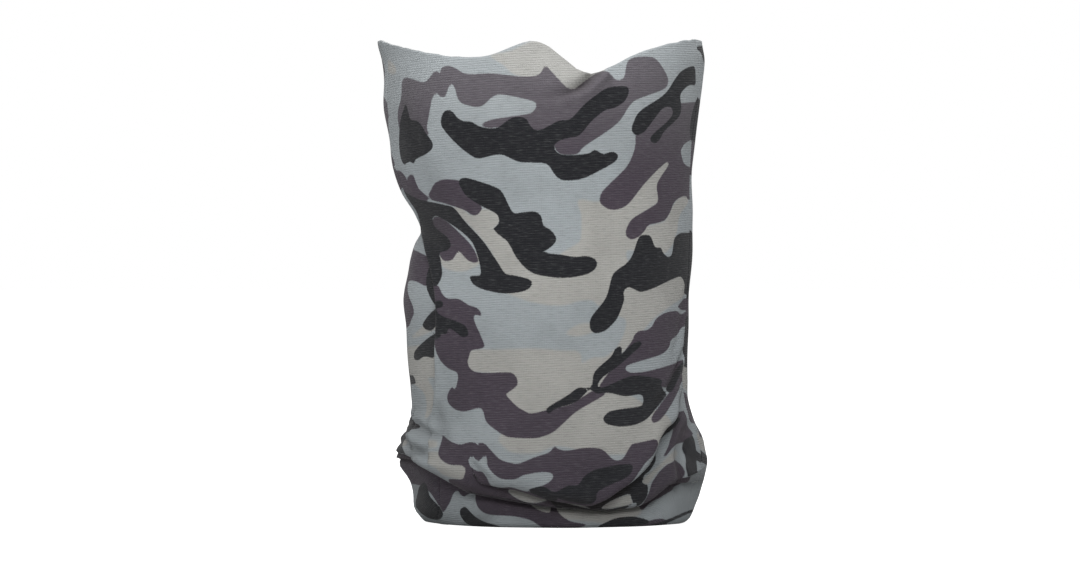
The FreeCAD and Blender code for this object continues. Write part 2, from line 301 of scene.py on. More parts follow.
def line_distance(u, z, line):
    """Distance to an open line, which side of it a point is on, and how far along it, 0 to 1."""
    best = np.full(u.shape, 1e9)
    side = np.zeros(u.shape)
    along = np.zeros(u.shape)
    count = len(line) - 1
    for i in range(count):
        a, b = line[i], line[i + 1]
        d = b - a
        f = np.clip(((u - a[0]) * d[0] + (z - a[1]) * d[1]) / (d @ d), 0, 1)
        du = u - a[0] - f * d[0]
        dz = z - a[1] - f * d[1]
        distance = np.hypot(du, dz)
        nearer = distance < best
        best = np.where(nearer, distance, best)
        side = np.where(nearer, np.sign(d[0] * (z - a[1]) - d[1] * (u - a[0])), side)
        along = np.where(nearer, (i + f) / count, along)
    return best, side, along


CREASE_REACH = -0.35                    # cosine of the angle where creases end
RIDGE_PLACE, RIDGE_WIDTH = 1.7, 1.3     # in widths of the crease
# Strength of the painted shade in a crease's groove.
CREASE_SHADE = 0.3


class Crease:
    """A soft fold pressed into a ply: a groove with a raised ridge on its left-hand side."""

    def __init__(self, points, depth, width, ridge, fade=(0.25, 0.25)):
        angles, heights = unroll(rounded(points, closed=False))
        self.line = np.stack([angles * AROUND, heights], axis=-1)
        self.depth, self.width, self.ridge, self.fade = depth, width, ridge, fade

    def measure(self, t, z):
        """Distance from the crease in its own widths, signed by side, and its strength there."""
        distance, side, along = line_distance(t * AROUND, z, self.line)
        strength = step(0, self.fade[0], along) * step(0, self.fade[1], 1 - along)
        return distance * side / self.width, np.where(np.cos(t) > CREASE_REACH, strength, 0.0)

    def relief(self, t, z):
        signed, strength = self.measure(t, z)
        groove = -self.depth * np.exp(-signed ** 2)
        ridge = self.ridge * np.exp(-((signed - RIDGE_PLACE) / RIDGE_WIDTH) ** 2)
        return (groove + ridge) * strength

    def mark(self, t, z):
        """How dark the groove is."""
        # Painted shade in the groove, where it would lie in shadow: how dark the cloth is coloured there.
        signed, strength = self.measure(t, z)
        return CREASE_SHADE * self.depth * strength * np.exp(-signed ** 2)


# Points in the front view, depth, width and ridge, and the shares of the length that fade in and out.
CREASES = [
    Crease([(30, 219), (22, 211), (15, 207), (6, 204.5), (-8, 203)], 3.6, 2.1, 2.4, (0.02, 0.75)),
    Crease([(71, 88), (66, 74), (61, 64), (51, 50)], 1.2, 2.2, 0.9),
    Crease([(71, 120), (68, 100), (66, 88), (62, 76)], 0.7, 3.0, 0.5),
    Crease([(72.2, 52), (71.6, 36), (71.6, 24), (72.5, 14)], 1.8, 2.4, 0.6, (0.2, 0.1)),
    Crease([(-68, 50), (-60, 46), (-52, 41), (-45, 40)], 1.5, 2.3, 1.2, (0.3, 0.4)),
    Crease([(-72, 41), (-63, 37), (-55, 32), (-46, 29)], 1.7, 2.4, 1.4, (0.3, 0.5)),
    Crease([(-66, 31), (-58, 33), (-52, 37), (-49, 42)], 0.9, 2.0, 0.8, (0.1, 0.4)),
    Crease([(-60, 56), (-61, 48), (-63, 40), (-62, 31)], 1.6, 2.2, 1.5, (0.4, 0.2)),
    Crease([(-80, 47), (-70, 44), (-62, 42)], 1.3, 2.0, 1.0, (0.3, 0.4)),
    Crease([(-84, 38), (-74, 37), (-66, 38)], 1.2, 2.0, 1.0, (0.3, 0.4)),
    Crease([(-49, 60), (-48, 50), (-47, 40), (-45, 32)], 0.8, 3.5, 0.6),
    Crease([(-35, 28), (-28, 22), (-22, 18)], 0.9, 2.0, 0.8, (0.3, 0.3)),
    Crease([(-70, 205), (-62, 190), (-57, 172), (-54, 160)], 0.5, 6.0, 0.4),
    Crease([(60, 20), (50, 13), (40, 9)], 0.7, 2.0, 0.4),
]


WRINKLES = 14
PULL_SPACING, PULL_DEPTH = 13.0, 0.22   # slanting pleats at both sides of the gathered end


def fine_wrinkles(t, z):
    """Slight unevenness of a thin worn knit, stronger towards the gathered lower end."""
    rng = np.random.default_rng(SEED)
    total = np.zeros(np.broadcast(t, z).shape)
    for _ in range(WRINKLES):
        turns = rng.integers(2, 13)
        tall = rng.uniform(18, 70)
        phase, slant = rng.uniform(0, 2 * math.pi, 2)
        waves = turns * t + 2 * math.pi * z / tall * math.cos(slant) + phase
        total += np.sin(waves) * rng.uniform(0.03, 0.12)
    gathered = 1.0 + 2.2 * step(60, 25, z)
    slanted = np.sin(2 * math.pi * (z + 0.35 * AROUND * t) / PULL_SPACING)
    at_sides = step(0.7, 0.98, np.abs(np.sin(t)))
    return total * gathered + slanted * PULL_DEPTH * at_sides * step(75, 40, z)


def face_relief(t, z):
    """Nose bridge standing out at the upper edge, flatter cheeks, the chin, and a lump at the lower left."""
    nose = 3.2 * bump(t, -0.03, 0.24) * step(150, 222, z)
    cheeks = -1.6 * (bump(t, -0.52, 0.2) + bump(t, 0.46, 0.18)) * step(165, 215, z)
    chin = 1.0 * bump(t, 0.0, 0.5) * bump(z, 118, 26)
    puff = 2.6 * bump(t, -1.02, 0.2) * bump(z, 35, 7)
    return nose + cheeks + chin + puff


def back_relief(t, z):
    """Long slack folds behind, where the cloth hangs free."""
    behind = step(0.1, 0.75, -np.cos(t))
    folds = 1.3 * np.sin(5 * t + z / 34.0) + 0.8 * np.sin(9 * t - z / 21.0 + 1.0)
    return behind * folds * step(225, 150, z) + behind * 0.8 * np.sin(z / 9.0 + 3 * t) * step(70, 30, z)


def relief(t, z):
    total = face_relief(t, z) + fine_wrinkles(t, z) + back_relief(t, z)
    for crease in CREASES:
        total = total + crease.relief(from_front(t), z)
    return total


def place(t, z, out):
    return body(t, z, out + relief(t, z))


# The front ply's left edge, drawn in the front view: it rolls over the back panel below the jaw.
JAW_EDGE = [(150, -60.5), (144, -58.4), (137.6, -56.4), (124.6, -52.8), (111, -49.9), (98, -49.2),
            (84.7, -49.4), (70, -49.6), (55, -50.5), (40, -53)]
JAW_NEARER = 1.022       # the jaw is nearer than the middle of the tube, and looks this much larger
SWING_FROM, SWING_FULL = 150.0, 138.0
ROLL_TOP, ROLL_FULL, ROLL_LOW, ROLL_END = 143.0, 130.0, 60.0, 40.0
ROLL_LIFT, ROLL_LIFT_WIDTH, ROLL_SINK = 2.0, 16.0, 1.3


def straight_seam(z):
    """Angle of a side seam that runs straight down, seen from the side."""
    _, _, centre_y, half_y = level(z)
    return np.arccos(np.clip((centre_y - SEAM_Y) / half_y, -1, 1))


def jaw_edge(z):
    """Angle of the seam on the left, which swings forward under the jaw."""
    z = np.asarray(z, float)
    seen_z = EYE_HEIGHT + (z - EYE_HEIGHT) * JAW_NEARER
    x = smooth(seen_z, JAW_EDGE)
    t, _ = unroll(np.stack([x.ravel(), seen_z.ravel()], axis=-1))
    t = t.reshape(z.shape)
    swing = step(SWING_FROM, SWING_FULL, z)
    return -straight_seam(z) * (1 - swing) + t * swing


def roll(z):
    """How much the front ply's edge rolls over the back panel at each height."""
    return step(ROLL_TOP, ROLL_FULL, z) * step(ROLL_END, ROLL_LOW, z)


# ---------------------------------------------------------------- folds at the lower end

LOWER_LIP = [(-78, 31), (-69, 30), (-63, 28), (-48, 21), (-34, 14.5), (-26, 12), (-14, 9.5), (-2, 7.5),
             (10, 6), (28, 5), (39, 4.5), (45, 5.5), (52, 6.5), (59, 10), (67, 16), (73, 18), (79, 19)]
UPPER_LIP = [(-78, 60), (-50, 42), (-36, 26), (-29, 19), (-17, 16), (-6, 14), (3.5, 11), (13, 9), (22, 7.8),
             (28, 7), (35.5, 10.3), (39, 13.2), (44.5, 18), (49, 23.7), (53, 28.4), (56, 34), (57.6, 38.3),
             (61, 44), (65, 49), (68, 62), (70, 77)]
UPPER_LIP_ENDS = [(-36, 20), (-16, 18), (61.5, 55), (68.5, 70)]     # it fades in, then out
UPPER_LIP_BEHIND = 60.0
FLAT_FOLD = 0.08         # a fold weaker than this has no overlap


def lower_lip(t):
    """Height of the fold that runs all the way round, higher and wavy behind."""
    front = line_height(np.clip(from_front(t), -1.5, 1.5), LOWER_LIP)
    behind = 25.0 + 3.0 * np.cos(t) + 2.2 * np.sin(3 * t + 0.4) + 1.2 * np.sin(7 * t)
    return front + (behind - front) * backward(t)


def upper_lip(t):
    """Height and strength of the short upper fold in front."""
    angle = from_front(t)
    ends, _ = unroll(UPPER_LIP_ENDS)
    height = line_height(angle, UPPER_LIP)
    height = height + (UPPER_LIP_BEHIND - height) * backward(t)
    return height, step(ends[0], ends[1], angle) * step(ends[3], ends[2], angle)


def fold_path(lip, amount, share):
    """Height and outward offset along an S-shaped fold, for a share 0 to 1 of its cloth."""
    turn = FOLD_GAP / 2 * amount + 1e-6
    tall = OVERLAP * np.maximum(amount - FLAT_FOLD, 0) / (1 - FLAT_FOLD)
    bend = math.pi * turn
    marks = np.cumsum([np.full(lip.shape, FOLD_RUN), bend, tall, bend, tall], axis=0)
    s = share * marks[-1]
    foot = lip + turn
    angle_low = (s - marks[0]) / turn
    angle_high = (s - marks[2]) / turn
    cases = [s < marks[0], s < marks[1], s < marks[2], s < marks[3]]
    heights = [foot + FOLD_RUN - s, foot - turn * np.sin(angle_low),
               foot + s - marks[1], foot + tall + turn * np.sin(angle_high)]
    offsets = [0 * s, -turn * (1 - np.cos(angle_low)),
               -2 * turn, -2 * turn - turn * (1 - np.cos(angle_high))]
    return np.select(cases, heights, foot + tall - (s - marks[3])), np.select(cases, offsets, -4 * turn)


# Zones of a panel: above the folds, between the two folds, and below the lower fold.
MAIN, PLY, BAND = 0, 1, 2
LIP_LEVEL, COUNT_LEVEL, RIM_LEVEL = 25.0, 100.0, 225.0      # heights where a panel's width is looked up
UPPER_FLARE, LOWER_FLARE, FLARE_HEIGHT = 2.0, 2.4, 7.0      # the cloth swells above each fold
GAP_FILL = 0.42          # thickness of a ply inside a fold, as a share of the gap
PLY_RUN, BAND_RUN = 30.0, 20.0
HEM_INSET = 1.0          # the band ends this far inside the tube
HEM_PARTS = 8
TUCK_STEP = 2.5


class ClothRows:
    """Rows of a panel from the rim down, through the folds, to the hem inside.

    Each row is (angles, heights, offsets, zone, thickness). angles_at gives the columns' angles."""

    def __init__(self, angles_at, count, cell):
        self.rows = []
        self.angles_at, self.count, self.cell = angles_at, count, cell
        self.t = angles_at(np.full(count, LIP_LEVEL))
        self.facing = facing(self.t)
        self.upper_strength = upper_lip(self.t)[1]
        self.lower_strength = (0.5 + 0.5 * self.facing) * (1 - bump(self.t, math.pi / 2 + 0.05, 0.36))
        self.lower = lower_lip(self.t)
        self.upper = np.maximum(upper_lip(self.t)[0], self.lower + 1.5 + 8 * (1 - self.upper_strength))
        self.upper_foot = self.upper + FOLD_GAP / 2 * self.upper_strength
        self.lower_foot = self.lower + FOLD_GAP / 2 * self.lower_strength
        self.lower_top = self.lower_foot + np.minimum(FOLD_RUN, 0.5 * (self.upper_foot - self.lower))
        self.stack = 2 * FOLD_GAP * self.upper_strength
        self.fold_rows = int(round((FOLD_RUN + 2 * OVERLAP + 4) / (0.8 * cell)))
        for part in (self.add_wall, self.add_upper_fold, self.add_ply, self.add_lower_fold,
                     self.add_band, self.add_hem):
            part()

    def add(self, height, out, zone, folded_by=None):
        flare = 0
        if zone == MAIN:
            flare = UPPER_FLARE * bump(height, self.upper + 3.0, FLARE_HEIGHT) * self.upper_strength
        if zone == PLY:
            flare = LOWER_FLARE * bump(height, self.lower + 4.0, FLARE_HEIGHT) * self.lower_strength
        thick = np.full(self.count, CLOTH)
        if folded_by is not None:
            fits = np.minimum(CLOTH, GAP_FILL * FOLD_GAP * folded_by)
            thick = np.where(folded_by < 0.05, CLOTH, fits)
        self.rows.append((self.angles_at(height), height, out + flare, zone, thick))

    def add_wall(self):
        """From the rim down to the upper fold."""
        rim = rim_height(self.angles_at(np.full(self.count, RIM_LEVEL)))
        start = self.upper_foot + FOLD_RUN
        count = int(round((np.max(rim) - np.min(start)) / self.cell))
        for i in range(count):
            height = rim + (start - rim) * i / count
            self.add(height, stand_off(self.t, height), MAIN)

    def add_upper_fold(self):
        turned = -FOLD_GAP / 2 * np.maximum(self.upper_strength, 1e-3) * 1.2
        for i in range(self.fold_rows):
            height, out = fold_path(self.upper, self.upper_strength, i / self.fold_rows)
            zone = PLY if (out < turned).any() else MAIN
            self.add(height, stand_off(self.t, height) + out, zone, self.upper_strength)

    def add_ply(self):
        """The ply between the two folds."""
        count = max(3, int(round(PLY_RUN / self.cell)))
        for i in range(count):
            height = self.upper_foot + (self.lower_top - self.upper_foot) * i / count
            self.add(height, stand_off(self.t, height) - self.stack, PLY)

    def add_lower_fold(self):
        squeeze = (self.lower_top - self.lower) / (self.lower_foot + FOLD_RUN - self.lower)
        for i in range(self.fold_rows):
            height, out = fold_path(self.lower, self.lower_strength, i / self.fold_rows)
            height = np.where(out == 0, self.lower + (height - self.lower) * squeeze, height)
            zone = PLY if out.min() > -FOLD_GAP * 0.6 else BAND
            self.add(height, stand_off(self.t, 0 * height) - self.stack + out, zone, self.lower_strength)

    def band_offset(self):
        return STAND + FRONT_STAND * self.facing - self.stack - 2 * FOLD_GAP * self.lower_strength

    def add_band(self):
        """The band below the lower fold, down to the turn of the hem."""
        count = max(4, int(round(BAND_RUN / self.cell)))
        for i in range(count):
            height = self.lower_foot + (HEM_TURN - self.lower_foot) * i / count
            self.add(height, self.band_offset() * (1 - i / count) - HEM_INSET * i / count, BAND)

    def add_hem(self):
        """The turn at the lower end, and the cloth tucked up inside, which stays behind the band."""
        level_row = np.full(self.count, HEM_TURN)
        for i in range(HEM_PARTS):
            angle = math.pi * i / HEM_PARTS
            depth = HEM_INSET + HEM_TURN * (1 - math.cos(angle))
            self.add(level_row - HEM_TURN * math.sin(angle), np.full(self.count, -depth), BAND)
        count = int(round(HEM_TUCK / TUCK_STEP))
        for i in range(count + 1):
            f = i / count
            height = level_row + (HEM_TUCK - HEM_TURN) * f
            covered = np.clip(height / self.lower_foot, 0, 1)
            behind_band = self.band_offset() * covered - (1 - covered) - HEM_CLEAR
            self.add(height, np.minimum(-HEM_INSET - 2 * HEM_TURN - 2.0 * f, behind_band), BAND)


def turned_edge(turn):
    """Sideways shifts and inward depths of the cloth that turns under at a panel's edge."""
    bend = math.pi * turn
    s = (bend + ALLOWANCE - math.pi * SEAM_TURN) * np.arange(1, EDGE_PARTS + 1) / EDGE_PARTS
    shift = np.where(s < bend, turn * np.sin(s / turn), bend - s)
    depth = np.where(s < bend, turn * (1 - np.cos(s / turn)), 2 * turn)
    return shift, depth


def allowance(row, end, turn):
    """Columns that carry a row on under itself at one end, following the same folds."""
    t, z, out = row
    shift, depth = turned_edge(turn)
    angle = t[end] + (shift if end else -shift) / AROUND
    return np.stack([angle, np.interp(angle, t, z), np.interp(angle, t, out) - depth])


def edge_lift(t, z, rolled):
    """The front ply lifts where its edge rolls, and the back ply sinks where it passes below."""
    if rolled:
        return ROLL_LIFT * roll(z) * np.exp(-(t - t[0]) * AROUND / ROLL_LIFT_WIDTH)
    return -ROLL_SINK * roll(z) * step(34, 8, (t[-1] - t) * AROUND)


def panel_grid(left_at, right_at, cell, rolled):
    """Grid of points for one panel, its cloth coordinates, angles, heights, zones and thickness."""
    count = int(round((right_at(COUNT_LEVEL) - left_at(COUNT_LEVEL)) * AROUND / cell))
    share = np.linspace(0, 1, count)

    def angles_at(z):
        z = np.broadcast_to(np.asarray(z, float), share.shape)
        left, right = left_at(z), right_at(z)
        return left + (right - left) * share

    columns, zones, thicknesses = [], [], []
    for t, z, out, zone, thick in ClothRows(angles_at, count, cell).rows:
        row = np.stack([t, z, out + edge_lift(t, z, rolled)])
        left_turn = SEAM_TURN + (ROLL_TURN - SEAM_TURN) * roll(z[0]) * rolled
        left, right = allowance(row, 0, left_turn), allowance(row, -1, SEAM_TURN)
        columns.append(np.concatenate([left[:, ::-1], row, right], axis=1))
        zones.append(np.full(count + 2 * EDGE_PARTS, zone))
        pressed = np.pad(np.minimum(thick, ALLOWANCE_THICK), EDGE_PARTS, mode="edge")
        pressed[EDGE_PARTS:-EDGE_PARTS] = thick
        thicknesses.append(pressed)
    t, z, out = np.stack(columns, axis=1)
    run = np.hypot(np.diff(z, axis=0), np.diff(out, axis=0)).cumsum(axis=0)
    run = high[2] - z[0] + np.concatenate([0 * z[:1], run])
    cloth = np.stack([t * AROUND, run], axis=-1)
    return place(t, z, out), cloth, t, z, np.array(zones), np.array(thicknesses)


# ---------------------------------------------------------------- the print
# Outlines as seen from the front, in millimetres. A third value marks a sharp corner.
C = 1

# Above the folds. The last shapes of each list lie near the folds and are left out behind.
PURPLE_MAIN = [
    [(-66, 213), (-57, 211), (-54, 213), (-51, 216.5), (-49, 215, C), (-48, 218), (-45, 219), (-41, 217.5),
     (-36, 215), (-24, 215.3), (-9, 213.7), (-1, 214.5), (2, 219.5, C), (6, 215), (12.5, 208.3),
     (17, 208, C), (22.5, 212), (29, 216), (33, 216), (36, 213), (38.5, 212), (41, 214), (43, 221.8),
     (50.6, 223.4), (56, 222), (60.6, 215), (61.4, 211), (59, 207.5), (47.3, 203), (43.5, 200), (38, 192),
     (30, 186), (20.8, 180), (17.5, 176.5), (10, 176.3), (7, 178.7), (5, 183), (-5, 184), (-16, 189),
     (-24.7, 189), (-29.4, 190.3, C), (-23.7, 193), (-9, 195.2), (-4, 196.5), (-2, 199.7), (-4, 202),
     (-18, 205), (-23, 204), (-29, 199.4), (-36, 200), (-40, 202.3), (-42, 208.5), (-43.2, 210),
     (-44.5, 209), (-46, 205), (-47.2, 203.8), (-49.2, 204.4), (-50.5, 206), (-52.4, 203), (-53, 199.7),
     (-54.5, 189), (-53.7, 186), (-60, 184), (-67, 187), (-69, 196), (-67.5, 204)],
    [(46, 186), (45.4, 181), (44, 176), (40.7, 170), (33, 162), (29.4, 158), (28.4, 154), (30, 151.6),
     (33.6, 149.8), (37.7, 150), (42.4, 152.7), (49.7, 162), (58.4, 170.5), (61.7, 173, C), (61.5, 170.5),
     (57.6, 164.7), (56, 161), (56.3, 154.2), (54, 151.6), (45, 146), (42.4, 142.8), (41, 138.6),
     (42.4, 136), (44.5, 135.5), (47, 136.5), (49.7, 139), (51.8, 142.2), (56, 143.3), (59.7, 144.8),
     (62.3, 148.5), (64.3, 153.2), (67.5, 155.8), (70, 156), (71.5, 154.5), (80, 156), (84, 163), (78, 170),
     (72.5, 170), (69, 171.6), (67.8, 175.4), (67.8, 179.3), (72, 183), (82, 184), (90, 192), (84, 201),
     (67.5, 201), (60, 200), (50, 192)],
    [(-76, 165), (-70, 168), (-68, 168.5), (-65.5, 166.5), (-64, 164, C), (-63, 166), (-61, 166.5),
     (-59.5, 162.6), (-58, 159.4), (-53.8, 155), (-58, 153), (-65, 156), (-75, 160)],
    [(-53.5, 155), (-52.8, 159), (-50.7, 162.6), (-47, 164.2), (-43, 164.2), (-38, 163), (-33, 156),
     (-28.3, 151.4), (-28.8, 149), (-31, 147), (-33.5, 147.4), (-36.6, 149.5), (-46, 152.7)],
    [(-52, 145), (-49, 146.3), (-46, 144.8), (-41.3, 141), (-33, 132.3), (-29.8, 125.5), (-31.4, 124.2),
     (-34, 124.8), (-36.6, 127), (-38.2, 129.2), (-39.5, 130), (-41.8, 126), (-44, 125), (-46.5, 125.5),
     (-49, 130), (-52, 135)],
    [(43.5, 86), (44.8, 89), (47, 91.3), (50.8, 91.8), (53.4, 93.7), (55.5, 97.3), (59.7, 100), (65, 101),
     (68, 99.5), (70.6, 101), (80, 103), (86, 97), (78, 92), (69, 93.7), (66.4, 89.5), (62.8, 87),
     (61.7, 83.8), (58.6, 80.6), (53.4, 78.5), (42.4, 75), (41, 73), (43, 71.5), (47.7, 71.5), (54.4, 72.8),
     (66.4, 76.5), (69, 78), (68.5, 74.4), (66, 69.2), (62.3, 65), (59.7, 64.2), (50, 66), (40, 66),
     (32, 62), (28, 64), (36, 76)],
    [(66, 103), (71, 108), (78, 109), (78, 102), (71, 101)],
    [(-54, 116), (-48, 113), (-46.5, 109.4), (-44, 107), (-39.2, 106.8), (-34, 103.6), (-31.4, 103),
     (-28.8, 101), (-28, 98.4, C), (-30.9, 99.1), (-32, 97.8), (-31, 94.7), (-28.8, 89.5), (-26.7, 83.8, C),
     (-29.3, 82.7), (-33, 82), (-34, 79.6), (-34.8, 76.5), (-34, 74), (-31.4, 71.8), (-25, 71.2),
     (-16.8, 71.5), (-13, 70.7), (-11.3, 68), (-11.6, 65), (-17, 60.8, C), (-12, 55.6), (-8, 53),
     (-4.3, 51.7), (2.8, 53.3), (10, 55), (15.3, 56.6), (27.8, 64), (31, 61), (20.5, 54.6), (15.3, 51),
     (6.5, 43), (0, 40.3), (-4.3, 39.7), (-13, 40), (-17.3, 41), (-24, 45.7), (-26.4, 48.8), (-27.7, 53.3),
     (-29.8, 54.3), (-36, 52.7), (-39.7, 53.3), (-42.3, 55.3), (-44, 58.7), (-43.4, 62), (-41.8, 64.5, C),
     (-40.5, 63.5), (-39.7, 65), (-39, 69.2), (-39.7, 71.5), (-43.4, 73.3), (-46.5, 76.5), (-48.3, 80.6),
     (-50, 86), (-56, 94), (-66, 104), (-62, 115)],
    [(53.4, 47.3), (53.4, 50.4), (57, 55.6), (65.4, 68), (69.8, 78), (70.3, 71), (65, 62), (58.6, 51.4),
     (55.5, 47.8)],
    [(-48.3, 41.5, C), (-44.5, 38.7), (-39.4, 36.7), (-35.4, 37.7), (-31.8, 37.8), (-30.3, 36.2, C),
     (-28.8, 37.7), (-26.3, 36.7), (-23.2, 33), (-19.7, 29.6), (-15, 28), (-10.6, 27.6), (-3, 30.6), (4, 33),
     (6.5, 36.4, C), (8.5, 34.6), (12.7, 33.8), (20.5, 35), (27.8, 35), (31.5, 33.3), (35, 30), (37.7, 29),
     (40.4, 30.4), (42.4, 34), (44.3, 37, C), (50.3, 38.3), (54, 39.3), (55.7, 38.3), (55.7, 35.7),
     (53.4, 31.5), (49.2, 27.3), (42.4, 17.4), (38.3, 12.7), (32, 8.5), (27, 3), (10, 2), (-10, 4), (-30, 9),
     (-42, 15), (-44, 20), (-37.9, 20), (-36.7, 22), (-36.7, 25), (-38.4, 26.6), (-43.5, 27), (-47, 29),
     (-48.8, 32), (-48.5, 36.7)],
]
PURPLE_GAPS = [
    [(-33.6, 31.4), (-35.4, 29), (-34.4, 26), (-31.3, 24), (-27.8, 23), (-23.2, 16.4), (-19, 16),
     (-14, 16.2), (-8, 14.4), (-4, 14.7), (1, 17), (4, 18.7), (6, 21), (5, 23), (0, 23.4), (-8, 22),
     (-11.6, 20.2), (-16.7, 20), (-20.2, 21), (-23.7, 24), (-25.8, 27), (-26.3, 30.6), (-27.3, 31.4),
     (-30.3, 28.6), (-31.8, 29.6)],
    [(-39.6, 141.6), (-37, 141), (-34, 137.5), (-33, 134.5, C), (-36, 138.5), (-39, 141)],
]
